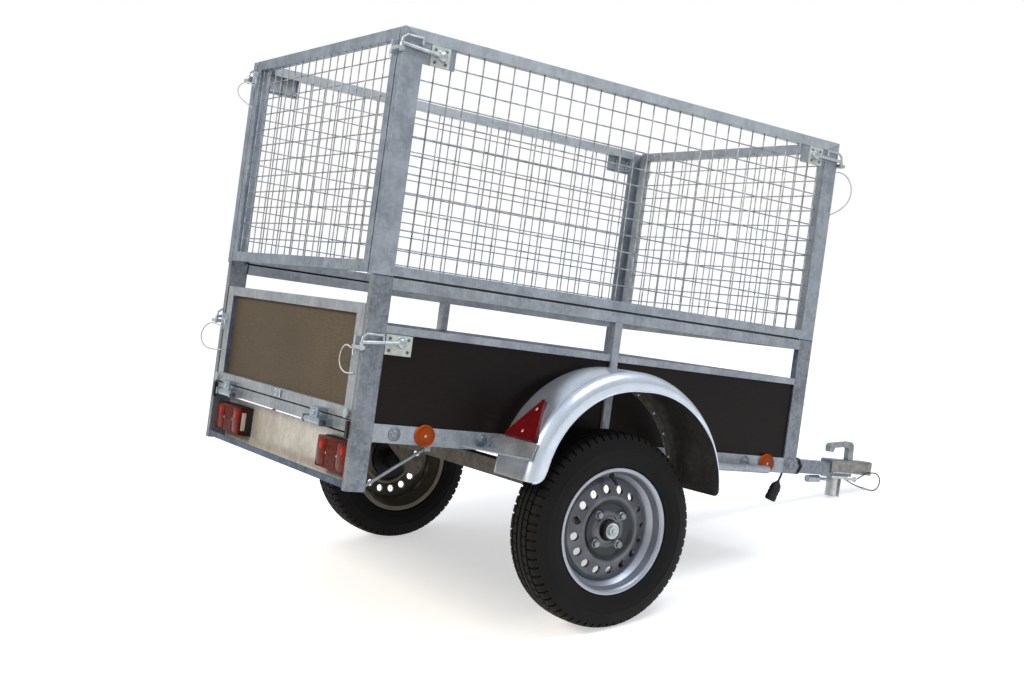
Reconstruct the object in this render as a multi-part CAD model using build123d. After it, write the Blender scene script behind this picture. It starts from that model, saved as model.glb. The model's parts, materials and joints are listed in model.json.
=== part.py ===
from build123d import *
import math
import os

# Utility trailer: a galvanised single-axle box trailer with plywood sides, a tailgate and a mesh cage.
# Millimetres. The trailer is drawn level: x forward from the rear of the box, y left, z up from the
# ground. The last section turns it nose down about its axle, as it rests with its clamp on the floor.

# ---------------------------------------------------------------- driving dimensions
BODY_LENGTH = 1630.0        # box, over the corner posts
BODY_WIDTH = 1042.0         # box, over the corner posts
SIDE = BODY_WIDTH / 2

AXLE_X = 770.0              # axle line, forward of the rear posts
WHEEL_RADIUS = 281.0        # 145 R13 tyre
TYRE_WIDTH = 145.0
TYRE_OUTER_Y = 711.0        # outer side wall from the middle
RIM_FLANGE_RADIUS = 181.0
RIM_FACE_Y = 699.0          # outer rim flange from the middle
VENT_COUNT = 16
WHEEL_BOLT_CIRCLE = 115.0
WHEEL_BOLTS = 4

SILL_BOTTOM = 462.5
SILL_TOP = 512.0
SILL_DEPTH = 30.0
POST_DEPTH = 22.0           # lower posts, across the trailer
REAR_POST_X = (4.0, 63.0)
REAR_POST_BOTTOM = 328.0
FRONT_POST_X = (1574.0, BODY_LENGTH)
PLY = 12.0
PLY_OUTER = 515.0           # outer face of the side panels from the middle
PLY_TOP = 753.5
SIDE_RAIL_TOP = 773.5
UPPER_RAIL_BOTTOM = 869.0
CAGE_BOTTOM = 903.0         # seam between box and cage
CAGE_RAIL = 30.0
RAIL_GAP = 6.0              # slot between the box's upper rails and the cage's lower rails
CAGE_TOP = 1557.0
MID_POST_X = (813.0, 839.0)
MID_POST_OUTER = 524.0

MESH_PITCH = 50.0
MESH_WIRE = 4.0
GATE_CLEARANCE = 6.0

TAILGATE_BOTTOM = 516.0
TAILGATE_TOP = 825.0
TAILGATE_X = (6.0, 34.0)
TAILGATE_BAR = 29.0         # top and bottom bars
TAILGATE_STILE = 45.0
TAILGATE_HINGE = (-22.0, 490.0)     # hinge line, x and z
HINGE_Y = 330.0

DRAWBAR_TOP = 462.5
DRAWBAR_SIZE = 50.0
DRAWBAR_X = (560.0, 2455.0)
COUPLING_X = (2335.0, 2577.0)
COUPLING_Z = 440.0          # centre of the ball socket
BALL_RADIUS = 25.0
CLAMP_X = 2389.0
CLAMP_BOTTOM = 331.0
CLAMP_RADIUS = 24.5         # bore for a 48 mm jockey wheel tube
CLAMP_GAP = 16.0
CLAMP_PLATE_Z = (403.0, 412.4)

FENDER_CENTRE = (AXLE_X, 395.0)
FENDER_RADIUS = 342.0
FENDER_LIP_RADIUS = 290.0
FENDER_Y = (545.0, 737.0)
SHEET = 2.5

WALL = 3.0                  # section steel


# ---------------------------------------------------------------- helpers
def block(x, y, z):
    """Box between the limits given for x, y and z."""
    size = [b - a for a, b in (x, y, z)]
    centre = [(a + b) / 2 for a, b in (x, y, z)]
    return Pos(*centre) * Box(*size)


def hollow(x, y, z, along, wall=WALL):
    """Rectangular tube between the limits, open at both ends of the axis it runs along."""
    spans = {"x": x, "y": y, "z": z}
    inner = []
    for name in "xyz":
        a, b = spans[name]
        inner.append((a - 1, b + 1) if name == along else (a + wall, b - wall))
    return block(x, y, z) - block(*inner)


def rod(start, end, radius):
    """Round bar between two points."""
    a, b = Vector(*start), Vector(*end)
    return Solid.make_cylinder(radius, (b - a).length, Plane(origin=a, z_dir=b - a))


def bent_rod(points, radius):
    """Round bar through several points, with a ball at each bend."""
    bar = rod(points[0], points[1], radius)
    for start, end in zip(points[1:], points[2:]):
        bar += Pos(*start) * Sphere(radius)
        bar += rod(start, end, radius)
    return bar


def outline(points, y):
    """Plate with the (x, z) outline given, between two y limits."""
    face = make_face(Polyline(*[(px, y[0], pz) for px, pz in points], close=True))
    return extrude(face, amount=y[1] - y[0], dir=(0, 1, 0))


def cord(points, diameter):
    """Cord along a route: straight runs joined by arcs as large as the runs allow."""
    stops = [Vector(*point) for point in points]
    runs = [b - a for a, b in zip(stops, stops[1:])]
    radii = []
    for before, after in zip(runs, runs[1:]):
        half_turn = math.radians(before.get_angle(after)) / 2
        radii.append(0.45 * min(before.length, after.length) / math.tan(half_turn))
    route = FilletPolyline(*stops, radius=radii)
    section = Plane(origin=route @ 0, z_dir=route % 0) * Circle(diameter / 2)
    tube = sweep(section, path=route)
    print("cord radii", [round(radius) for radius in radii], "length", round(route.length),
          "volume ratio", round(tube.volume / (math.pi * diameter ** 2 / 4 * route.length), 4))
    return tube


def both(solid):
    """The right-hand piece and its mirror image on the left."""
    return [solid, mirror(solid, about=Plane.XZ)]


def right(lo, hi):
    """Limits from the middle turned into right-hand y limits."""
    return (-hi, -lo)


pieces = {}


def node(name, *solids):
    """Collect the solids of one named sub-part."""
    flat = []
    for item in solids:
        flat.extend(item if isinstance(item, (list, tuple)) else [item])
    pieces[name] = flat


# ---------------------------------------------------------------- lower box
POST_Y = right(SIDE - POST_DEPTH, SIDE)
SILL_Y = right(SIDE - SILL_DEPTH, SIDE)
BETWEEN_POSTS = (REAR_POST_X[1], FRONT_POST_X[0])

node("sills", both(hollow(BETWEEN_POSTS, SILL_Y, (SILL_BOTTOM, SILL_TOP), "x")))
rear_post = hollow(REAR_POST_X, POST_Y, (REAR_POST_BOTTOM, CAGE_BOTTOM), "z")
front_post = hollow(FRONT_POST_X, POST_Y, (SILL_BOTTOM, CAGE_BOTTOM), "z")
GLAND_Z = 482.0             # underside of the block inside each front post that the lighting lead comes out of
front_post += block((FRONT_POST_X[0] + WALL, FRONT_POST_X[0] + WALL + 16),
                    right(SIDE - POST_DEPTH + WALL, SIDE - WALL), (GLAND_Z, GLAND_Z + 4))
node("corner_posts", both(rear_post), both(front_post))

REFLECTOR_RADIUS = 30.5
REFLECTOR_Z = 490.0
side_reflectors = []
for x in (220.0, 1496.0):
    disc = rod((x, -SIDE, REFLECTOR_Z), (x, -SIDE - 8, REFLECTOR_Z), REFLECTOR_RADIUS)
    side_reflectors += both(disc)
node("side_reflectors", side_reflectors)

INNER_SILL = SIDE - SILL_DEPTH
CROSS_BAR_Z = (SILL_BOTTOM + 1.0, SILL_TOP - PLY)
CROSS_BARS = [          # (rear edge x, front edge x)
    (330.0, 370.0),
    (1180.0, 1220.0),
]
cross_bars = [hollow(x, (-INNER_SILL, INNER_SILL), CROSS_BAR_Z, "y") for x in CROSS_BARS]
front_bar = hollow(FRONT_POST_X, (-(SIDE - POST_DEPTH), SIDE - POST_DEPTH), (SILL_BOTTOM, SILL_TOP), "y")
REAR_BAR_X = (8.0, REAR_POST_X[1])
REAR_BAR_Z = (480.0, 511.0)
rear_bar = hollow(REAR_BAR_X, (-(SIDE - POST_DEPTH), SIDE - POST_DEPTH), REAR_BAR_Z, "y")
node("cross_bars", cross_bars, front_bar, rear_bar)

FLOOR_Z = (SILL_TOP - PLY, SILL_TOP)
node("floor_panel", block((REAR_POST_X[1] + 1, FRONT_POST_X[0] - 1), (-INNER_SILL + 0.5, INNER_SILL - 0.5),
                          FLOOR_Z))

PLY_Y = right(PLY_OUTER - PLY, PLY_OUTER)
side_panel = block(BETWEEN_POSTS, PLY_Y, (SILL_TOP, PLY_TOP))

side_rail = hollow(BETWEEN_POSTS, POST_Y, (PLY_TOP, SIDE_RAIL_TOP), "x", 2.0)
mid_post_slot = block((MID_POST_X[0] - 0.2, MID_POST_X[1] + 0.2), right(PLY_OUTER, SIDE + 1),
                      (PLY_TOP - 1, SIDE_RAIL_TOP + 1))
side_rail -= mid_post_slot

mid_post = block(MID_POST_X, right(SIDE - SILL_DEPTH, MID_POST_OUTER), (SIDE_RAIL_TOP, UPPER_RAIL_BOTTOM))
mid_post += block(MID_POST_X, right(PLY_OUTER, MID_POST_OUTER), (SILL_TOP + 1, SIDE_RAIL_TOP))
node("mid_posts", both(mid_post))

UPPER_RAIL_Z = (UPPER_RAIL_BOTTOM, CAGE_BOTTOM - RAIL_GAP / 2)
side_upper_rail = hollow(BETWEEN_POSTS, SILL_Y, UPPER_RAIL_Z, "x")
FRONT_RAIL_X = (FRONT_POST_X[0], FRONT_POST_X[0] + 28)
front_upper_rail = hollow(FRONT_RAIL_X, (-(SIDE - POST_DEPTH), SIDE - POST_DEPTH), UPPER_RAIL_Z, "y")
node("upper_rails", both(side_upper_rail), front_upper_rail)

FRONT_PLY_X = (FRONT_POST_X[0] + 14, FRONT_POST_X[0] + 14 + PLY)
front_panel_y = (-(SIDE - POST_DEPTH), SIDE - POST_DEPTH)
front_panel = block(FRONT_PLY_X, front_panel_y, (SILL_TOP, PLY_TOP))
front_rail = hollow((FRONT_POST_X[0], FRONT_POST_X[1] - 10), front_panel_y, (PLY_TOP, SIDE_RAIL_TOP), "y", 2.0)
node("wall_panels", both(side_panel), front_panel)
node("wall_rails", both(side_rail), front_rail)

# ---------------------------------------------------------------- light board and lamps
BOARD_X = REAR_POST_X[1] - SHEET
BOARD_Z = (334.0, 465.0)
BOARD_HALF = SIDE - POST_DEPTH
LIP_TOP = 352.0
LIP_X = 4.0
board = block((BOARD_X, REAR_POST_X[1]), (-BOARD_HALF, BOARD_HALF), BOARD_Z)
board += block((LIP_X, BOARD_X), (-BOARD_HALF, BOARD_HALF), (BOARD_Z[0], BOARD_Z[0] + SHEET))
board += block((LIP_X, LIP_X + SHEET), (-BOARD_HALF, BOARD_HALF), (BOARD_Z[0] + SHEET, LIP_TOP))
node("light_board", board)

LAMP_X = (14.0, BOARD_X)
LAMP_Y = (286.0, 486.0)
LAMP_Z = (361.0, 450.0)
lamp = block(LAMP_X, right(*LAMP_Y), LAMP_Z)
STAY_Y = 491.0
stay = rod((68, -STAY_Y, 336), (244, -STAY_Y, 453), 4.5)
stay += block((REAR_POST_X[1], 69), right(483, 499), (330, 350))
stay += block((238, 258), right(489, 499), (446, SILL_BOTTOM))
node("diagonal_stays", both(stay))
node("rear_stops", both(block((-2, REAR_BAR_X[0]), right(484, 497), (464, 510))))

node("tail_lamps", both(fillet(lamp.faces().sort_by(Axis.X)[0].edges(), 6)))

# ---------------------------------------------------------------- axle
AXLE_Z = 385.0              # beam centre: the arms trail down to the wheel
BEAM = 50.0
BEAM_X = AXLE_X - 110.0
beam = hollow((BEAM_X - BEAM / 2, BEAM_X + BEAM / 2), (-470, 470), (AXLE_Z - BEAM / 2, AXLE_Z + BEAM / 2), "y", 4)
node("axle_beam", beam)

SADDLE_Y = (425.0, 468.0)
saddle = block((BEAM_X - 60, BEAM_X + 60), right(*SADDLE_Y), (AXLE_Z + BEAM / 2, SILL_BOTTOM))
node("axle_brackets", both(saddle))

ARM = 12.0
SPINDLE_RADIUS = 15.0
ARM_Y = (472.0, 500.0)
SPINDLE_END = 690.0


def swing_arm():
    """Trailing arm from the beam's end to the wheel spindle."""
    hub_eye = Solid.make_cylinder(32, ARM_Y[1] - ARM_Y[0], Plane((AXLE_X, -ARM_Y[0], WHEEL_RADIUS), z_dir=(0, -1, 0)))
    beam_eye = Solid.make_cylinder(32, ARM_Y[1] - ARM_Y[0], Plane((BEAM_X, -ARM_Y[0], AXLE_Z), z_dir=(0, -1, 0)))
    run = Vector(AXLE_X - BEAM_X, 0, WHEEL_RADIUS - AXLE_Z)
    web_plane = Plane(origin=((AXLE_X + BEAM_X) / 2, -(ARM_Y[0] + ARM_Y[1]) / 2, (WHEEL_RADIUS + AXLE_Z) / 2),
                      x_dir=run, z_dir=(0, -1, 0))
    web = web_plane * Box(run.length, 44, ARM_Y[1] - ARM_Y[0])
    spindle = Solid.make_cylinder(SPINDLE_RADIUS, SPINDLE_END - ARM_Y[1],
                                  Plane((AXLE_X, -ARM_Y[1], WHEEL_RADIUS), z_dir=(0, -1, 0)))
    return hub_eye + beam_eye + web + spindle


node("swing_arms", both(swing_arm()))

# ---------------------------------------------------------------- wheels
DISC_Y = 671.0              # outer face of the wheel disc at its middle
HUB_BACK_Y = 560.0


def spun(profile):
    """Turn a closed (radius, y) outline about the wheel's axis on the right."""
    points = [(AXLE_X + r, -y, WHEEL_RADIUS) for r, y in profile]
    face = make_face(Polyline(*points, close=True))
    return revolve(face, Axis((AXLE_X, 0, WHEEL_RADIUS), (0, 1, 0)))


TYRE_INNER_Y = TYRE_OUTER_Y - TYRE_WIDTH
TYRE_PROFILE = [            # (radius, distance from the middle of the tread)
    (172.0, 58.4),
    (181.4, 58.4),
    (184.0, 65.0),
    (215.0, 72.5),
    (240.0, 70.0),
    (266.0, 60.0),
    (277.0, 48.0),
    (281.0, 25.0),
]
TREAD_MIDDLE_Y = (TYRE_OUTER_Y + TYRE_INNER_Y) / 2
tyre_outline = [(r, TREAD_MIDDLE_Y + half) for r, half in TYRE_PROFILE]
tyre_outline += [(r, TREAD_MIDDLE_Y - half) for r, half in reversed(TYRE_PROFILE)]
tyre = spun(tyre_outline)

RIM_INNER_Y = TREAD_MIDDLE_Y - 59.8
RIM_OUTER_Y = TREAD_MIDDLE_Y + 59.8
RIM_PROFILE = [             # barrel, from the outer flange to the inner flange and back along the inside
    (181.0, RIM_OUTER_Y - 1.0),
    (171.8, RIM_OUTER_Y - 1.0),
    (171.8, RIM_INNER_Y + 1.0),
    (181.0, RIM_INNER_Y + 1.0),
    (181.0, RIM_INNER_Y - 3.0),
    (166.0, RIM_INNER_Y - 3.0),
    (160.0, RIM_INNER_Y + 12.0),
    (146.0, RIM_INNER_Y + 40.0),
    (146.0, RIM_OUTER_Y - 46.0),
    (162.0, RIM_OUTER_Y - 26.0),
    (166.0, RIM_OUTER_Y - 12.0),
    (168.0, RIM_OUTER_Y - 4.0),
    (171.5, RIM_OUTER_Y + 1.5),
    (176.0, RIM_OUTER_Y + 3.0),
    (181.0, RIM_OUTER_Y + 3.0),
]
barrel = spun(RIM_PROFILE)
DISC_PROFILE = [            # (radius, y)
    (29.0, DISC_Y),
    (74.0, DISC_Y),
    (88.0, DISC_Y + 9.0),
    (98.0, DISC_Y + 9.0),
    (138.0, DISC_Y - 6.0),
    (147.0, DISC_Y - 14.0),
    (147.0, DISC_Y - 24.0),
    (138.0, DISC_Y - 16.0),
    (98.0, DISC_Y - 1.0),
    (88.0, DISC_Y - 1.0),
    (74.0, DISC_Y - 8.0),
    (29.0, DISC_Y - 8.0),
]
disc = spun(DISC_PROFILE)
VENT_RADIUS = 12.0
VENT_CIRCLE = 117.0
for k in range(VENT_COUNT):
    angle = 2 * math.pi * (k + 0.5) / VENT_COUNT
    vent = (AXLE_X + VENT_CIRCLE * math.cos(angle), -DISC_Y - 30, WHEEL_RADIUS + VENT_CIRCLE * math.sin(angle))
    disc -= Solid.make_cylinder(VENT_RADIUS, 60, Plane(vent, z_dir=(0, 1, 0)))
BOLT_RADIUS = 6.0
BOLT_SPOTS = []
for k in range(WHEEL_BOLTS):
    angle = 2 * math.pi * (k + 0.5) / WHEEL_BOLTS
    BOLT_SPOTS.append((AXLE_X + WHEEL_BOLT_CIRCLE / 2 * math.cos(angle),
                       WHEEL_RADIUS + WHEEL_BOLT_CIRCLE / 2 * math.sin(angle)))
for x, z in BOLT_SPOTS:
    disc -= Solid.make_cylinder(BOLT_RADIUS, 60, Plane((x, -DISC_Y - 30, z), z_dir=(0, 1, 0)))
rim = barrel + disc

HUB_PROFILE = [             # hub drum and nose, bored for the spindle
    (SPINDLE_RADIUS + 0.05, DISC_Y + 20.0),
    (28.0, DISC_Y + 20.0),
    (28.0, DISC_Y - 8.0),
    (72.0, DISC_Y - 8.0),
    (72.0, DISC_Y - 20.0),
    (36.0, DISC_Y - 20.0),
    (36.0, HUB_BACK_Y),
    (SPINDLE_RADIUS + 0.05, HUB_BACK_Y),
]
hub = spun(HUB_PROFILE)
for x, z in BOLT_SPOTS:
    hub += Solid.make_cylinder(BOLT_RADIUS, 20, Plane((x, -DISC_Y - 12, z), z_dir=(0, 1, 0)))
for side_name, index in (("right", 0), ("left", 1)):
    node(f"tyre_{side_name}", both(tyre)[index])
    node(f"rim_{side_name}", both(rim)[index])
    node(f"hub_{side_name}", both(hub)[index])

# ---------------------------------------------------------------- fenders
FENDER_START = 1.0          # degrees, from straight ahead
FENDER_ARC = 176.5


def arc_sweep(profile, start_angle, arc):
    """Turn a closed (radius, y) outline about the fender's axis through part of a turn."""
    centre_x, centre_z = FENDER_CENTRE
    points = [(centre_x + r, -y, centre_z) for r, y in profile]
    face = make_face(Polyline(*points, close=True))
    axis = Axis((centre_x, 0, centre_z), (0, 1, 0))
    return revolve(face.rotate(axis, -start_angle), axis, -arc)


FENDER_OUTER = FENDER_Y[1] + 3
OUTER_BEND = 32.0           # bend from the crown to the outer face
INNER_BEND = 30.0
SKIRT_RADIUS = FENDER_RADIUS - 44


def quarter(centre, radius, start):
    """Points (radius, y) of a quarter turn of the section, start in degrees from straight out."""
    turns = [math.radians(start + 22.5 * k) for k in range(5)]
    return [(centre[0] + radius * math.sin(a), centre[1] + radius * math.cos(a)) for a in turns]


OUTER_CENTRE = (FENDER_RADIUS - OUTER_BEND, FENDER_OUTER - OUTER_BEND)
INNER_CENTRE = (FENDER_RADIUS - INNER_BEND, FENDER_Y[0] + INNER_BEND)
FENDER_PROFILE = [          # outer skin from the lip over the crown, then back along the inside
    (FENDER_LIP_RADIUS, FENDER_OUTER),
    *quarter(OUTER_CENTRE, OUTER_BEND, 0),
    *quarter(INNER_CENTRE, INNER_BEND, 90),
    (SKIRT_RADIUS, FENDER_Y[0]),
    (SKIRT_RADIUS, FENDER_Y[0] + SHEET),
    *reversed(quarter(INNER_CENTRE, INNER_BEND - SHEET, 90)),
    *reversed(quarter(OUTER_CENTRE, OUTER_BEND - SHEET, 0)),
    (FENDER_LIP_RADIUS, FENDER_OUTER - SHEET),
]


def corner_cut(angle, into, radius):
    """Waste outside a rounded corner of the outer face, at one end of the arch; into is the way along it."""
    a = math.radians(angle)
    corner = (FENDER_CENTRE[0] + FENDER_LIP_RADIUS * math.cos(a), -FENDER_OUTER - 2,
              FENDER_CENTRE[1] + FENDER_LIP_RADIUS * math.sin(a))
    face = Plane(origin=corner, x_dir=(-into * math.sin(a), 0, into * math.cos(a)), z_dir=(0, into, 0))
    waste = Pos((radius - 2) / 2, (radius - 6) / 2) * Rectangle(radius + 2, radius + 6)
    waste -= Pos(radius, radius) * Circle(radius)
    return extrude(face * waste, amount=22, dir=(0, 1, 0))


fender = arc_sweep(FENDER_PROFILE, FENDER_START, FENDER_ARC)
fender -= corner_cut(FENDER_START, 1, 24)
fender -= corner_cut(FENDER_START + FENDER_ARC, -1, 34)
node("fenders", both(fender))


def fender_plane(angle, y, lift=0.1):
    """Plane that touches the fender's crown from outside, its x axis up the arch, angle from straight ahead."""
    a = math.radians(angle)
    reach = FENDER_RADIUS + lift
    centre = (FENDER_CENTRE[0] + reach * math.cos(a), y, FENDER_CENTRE[1] + reach * math.sin(a))
    return Plane(origin=centre, x_dir=(0, 1, 0), z_dir=(math.cos(a), 0, math.sin(a)))


BRACKET_Y = (-733.0, -SIDE)
BRACKET_ANGLE = 163.5
rear_plate = Rectangle(BRACKET_Y[1] - BRACKET_Y[0], 44)
rear_bracket = extrude(fender_plane(BRACKET_ANGLE, sum(BRACKET_Y) / 2) * rear_plate, 3)
FOOT_Z = 469.0
foot_plate = make_face(Polyline((334, -SIDE, FOOT_Z), (435, -SIDE, FOOT_Z), (435, -733, FOOT_Z),
                                (427, -733, FOOT_Z), close=True))
rear_bracket += extrude(foot_plate, amount=3.5, dir=(0, 0, 1))
FRONT_STAY = ((1109.0, -688.0, 487.0), (1478.0, -548.0, 473.0))
front_plate = extrude(fender_plane(15.5, -688.0) * Rectangle(36, 40), 4)
front_bracket = front_plate + rod(FRONT_STAY[0], FRONT_STAY[1], 12.5)
front_bracket += rod((1102.5, -688, 487), (1111, -688, 487), 9)
front_bracket += block((1428, 1458), (-552, -SIDE), (466, 484))
node("fender_brackets", both(rear_bracket), both(front_bracket))

TRIANGLE_SIDE = 156.0
TRIANGLE_ANGLE = 148.5
triangle_height = TRIANGLE_SIDE * math.sqrt(3) / 2
triangle = Polygon((-TRIANGLE_SIDE / 2, triangle_height / 2), (0, -triangle_height / 2),
                   (TRIANGLE_SIDE / 2, triangle_height / 2), align=None)      # its point is the upper end
triangle = fillet(triangle.vertices(), 6)
triangle_plate = extrude(fender_plane(TRIANGLE_ANGLE, -650.0) * triangle, 7)
node("triangle_reflectors", both(triangle_plate))

# ---------------------------------------------------------------- drawbar, coupling and clamp
DRAWBAR_Z = (DRAWBAR_TOP - DRAWBAR_SIZE, DRAWBAR_TOP)
HALF_BAR = DRAWBAR_SIZE / 2
node("drawbar", hollow((DRAWBAR_X[0], DRAWBAR_X[1]), (-HALF_BAR, HALF_BAR), DRAWBAR_Z, "x", 4))

STRAP_X = (2148.0, 2178.0)
strap = block(STRAP_X, (-HALF_BAR - 3, HALF_BAR + 3), (DRAWBAR_Z[0] - 3, DRAWBAR_TOP + 3))
strap -= block((STRAP_X[0] - 1, STRAP_X[1] + 1), (-HALF_BAR, HALF_BAR), DRAWBAR_Z)
node("drawbar_strap", strap)

HEAD_Z = (424.0, 476.0)
NOSE_RADIUS = 36.0
NOSE_X = COUPLING_X[1] - NOSE_RADIUS
shell = block((COUPLING_X[0], NOSE_X), (-31, 31), HEAD_Z)
shell += Solid.make_cylinder(NOSE_RADIUS, HEAD_Z[1] - HEAD_Z[0], Plane((NOSE_X, 0, HEAD_Z[0])))
shell = fillet(shell.faces().sort_by(Axis.Z)[-1].edges(), 7)
shell -= block((COUPLING_X[0] - 1, DRAWBAR_X[1]), (-HALF_BAR, HALF_BAR), (HEAD_Z[0] - 1, DRAWBAR_TOP))
BALL_X = COUPLING_X[1] - 44
shell -= Pos(BALL_X, 0, COUPLING_Z) * Sphere(BALL_RADIUS + 0.5)
shell -= Solid.make_cylinder(BALL_RADIUS + 0.5, 40, Plane((BALL_X, 0, COUPLING_Z - 40)))
node("coupling_head", shell)

LEVER_OUTLINE = [           # (x, z) round the raised lever from its grip
    (2333.0, 503.0),
    (2329.0, 526.0),
    (2339.0, 536.0),
    (2438.0, 549.0),
    (2452.0, 548.0),
    (2464.0, 536.0),
    (2468.0, HEAD_Z[1]),
    (2440.0, HEAD_Z[1]),
    (2438.0, 520.0),
    (2424.0, 528.0),
    (2360.0, 520.0),
    (2354.0, 503.0),
]
node("coupling_lever", outline(LEVER_OUTLINE, (-12, 12)))

CLAMP_HEIGHT = CLAMP_PLATE_Z[0] - CLAMP_BOTTOM
clamp = Solid.make_cylinder(CLAMP_RADIUS + 4, CLAMP_HEIGHT, Plane((CLAMP_X, 0, CLAMP_BOTTOM)))
clamp += block((CLAMP_X - 45, CLAMP_X + 45), (-30, 30), CLAMP_PLATE_Z)
clamp -= block((CLAMP_X - CLAMP_GAP / 2, CLAMP_X + CLAMP_GAP / 2), (-60, 60), (CLAMP_BOTTOM - 1, CLAMP_PLATE_Z[0]))
clamp -= Solid.make_cylinder(CLAMP_RADIUS, CLAMP_PLATE_Z[1] - CLAMP_BOTTOM + 2, Plane((CLAMP_X, 0, CLAMP_BOTTOM - 1)))
EYE = (2476.0, 403.0)
CABLE_ROUTE = [             # points (x, y, z) of the loop, from the clamp's plate to its eye
    (2424, -32, 399), (2447, -36, 389.5), (2474, -39, 381.5), (2504, -41, 375), (2531, -42, 370), (2557, -43, 367),
    (2583, -43, 368.5), (2603, -43, 388), (2603, -43, 416), (2583, -43, 435), (2556, -43, 437.5), (2528, -42, 433),
    (2504, -39, 423), (2482, -32, 407)]
FERRULE = 10.0
for end, before in ((CABLE_ROUTE[0], CABLE_ROUTE[1]), (CABLE_ROUTE[-1], CABLE_ROUTE[-2])):
    inward = (Vector(end) - Vector(before)).normalized() * FERRULE
    clamp += rod(end, tuple(Vector(end) + inward), 4)
clamp += block((CLAMP_X + 45, EYE[0] - 7), (-28, -22), (398, 408))
clamp += rod((EYE[0], -28, EYE[1]), (EYE[0], -22, EYE[1]), 10)
clamp -= rod((EYE[0], -29, EYE[1]), (EYE[0], -21, EYE[1]), 5)
node("jockey_clamp", clamp)
grip = rod((2240, 0, 392), (2300, 0, 394), 14)
grip += rod((2300, 0, 394), (CLAMP_X - CLAMP_RADIUS - 4.2, 0, 394), 6)
node("clamp_grip", grip)

# ---------------------------------------------------------------- cage
CAGE_POST_LEG = 28.0        # corner angle's leg across the trailer
CAGE_POST_X = (0.0, 62.0)
CAGE_TOP_RAIL_BOTTOM = CAGE_TOP - CAGE_RAIL
cage_rail_y = right(SIDE - CAGE_RAIL, SIDE)


def corner_angle(x, rear):
    """L-shaped corner post of the cage, its short leg on the rear or front face."""
    side_leg = block(x, right(SIDE - WALL, SIDE), (CAGE_BOTTOM, CAGE_TOP))
    across_x = (x[0], x[0] + WALL) if rear else (x[1] - WALL, x[1])
    return side_leg + block(across_x, right(SIDE - CAGE_POST_LEG, SIDE - WALL), (CAGE_BOTTOM, CAGE_TOP))


def cage_side():
    """Side frame of the cage: two corner angles, top and bottom rails, two latch gussets."""
    x = (CAGE_POST_X[1], FRONT_POST_X[0])
    frame = corner_angle(CAGE_POST_X, True) + corner_angle(FRONT_POST_X, False)
    frame += block(x, cage_rail_y, (CAGE_BOTTOM + RAIL_GAP / 2, CAGE_BOTTOM + CAGE_RAIL))
    frame += block(x, cage_rail_y, (CAGE_TOP_RAIL_BOTTOM, CAGE_TOP))
    for gusset in ((CAGE_POST_X[1], 161), (1468, FRONT_POST_X[0])):
        frame += block(gusset, right(SIDE - 6, SIDE - 2), (1470, CAGE_TOP_RAIL_BOTTOM))
    return frame


node("cage_sides", both(cage_side()))


def mesh_plate(u, v, first_u, first_v):
    """Square-mesh sheet in its own plane: wires at every pitch, bounded by the limits u and v."""
    sheet = Rectangle(u[1] - u[0], v[1] - v[0])
    sheet = Pos((u[0] + u[1]) / 2, (v[0] + v[1]) / 2) * sheet
    hole = MESH_PITCH - MESH_WIRE
    holes = []
    lines_u = [first_u + MESH_PITCH * k for k in range(60) if first_u + MESH_PITCH * k < u[1] + MESH_PITCH]
    lines_v = [first_v + MESH_PITCH * k for k in range(60) if first_v + MESH_PITCH * k < v[1] + MESH_PITCH]
    for cu in lines_u:
        for cv in lines_v:
            a = max(cu - MESH_PITCH / 2 - hole / 2, u[0] + MESH_WIRE)
            b = min(cu - MESH_PITCH / 2 + hole / 2, u[1] - MESH_WIRE)
            c = max(cv - MESH_PITCH / 2 - hole / 2, v[0] + MESH_WIRE)
            d = min(cv - MESH_PITCH / 2 + hole / 2, v[1] - MESH_WIRE)
            if b - a > 2 and d - c > 2:
                holes.append(Pos((a + b) / 2, (c + d) / 2) * Rectangle(b - a, d - c))
    return extrude(sheet - holes, MESH_WIRE)


SIDE_MESH_Y = SIDE - 13.0
side_sheet = mesh_plate((CAGE_POST_X[1], FRONT_POST_X[0]), (CAGE_BOTTOM + CAGE_RAIL, CAGE_TOP_RAIL_BOTTOM),
                        105.0, 979.0)
side_mesh = Plane(origin=(0, -SIDE_MESH_Y, 0), x_dir=(1, 0, 0), z_dir=(0, -1, 0)) * side_sheet
node("side_meshes", both(side_mesh))

# ---------------------------------------------------------------- cage gates
GATE_HALF = SIDE - CAGE_POST_LEG - GATE_CLEARANCE
GATE_DEPTH = 25.0
GATE_BOTTOM = CAGE_BOTTOM + 5.0
REAR_GATE_X = (0.0, GATE_DEPTH)
FRONT_GATE_X = (BODY_LENGTH - GATE_DEPTH, BODY_LENGTH)
GATE_PIN_Z = GATE_BOTTOM + 14.0
PIN_RADIUS = 6.0


def gate_frame(x):
    """Welded frame of a mesh gate with a bore for the pivot pin through each stile."""
    outer = block(x, (-GATE_HALF, GATE_HALF), (GATE_BOTTOM, CAGE_TOP))
    window = block((x[0] - 1, x[1] + 1), (-GATE_HALF + CAGE_RAIL, GATE_HALF - CAGE_RAIL),
                   (GATE_BOTTOM + CAGE_RAIL, CAGE_TOP_RAIL_BOTTOM))
    middle = (x[0] + x[1]) / 2
    bore = rod((middle, -GATE_HALF - 1, GATE_PIN_Z), (middle, GATE_HALF + 1, GATE_PIN_Z), PIN_RADIUS + 0.05)
    return outer - window - bore


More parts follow.
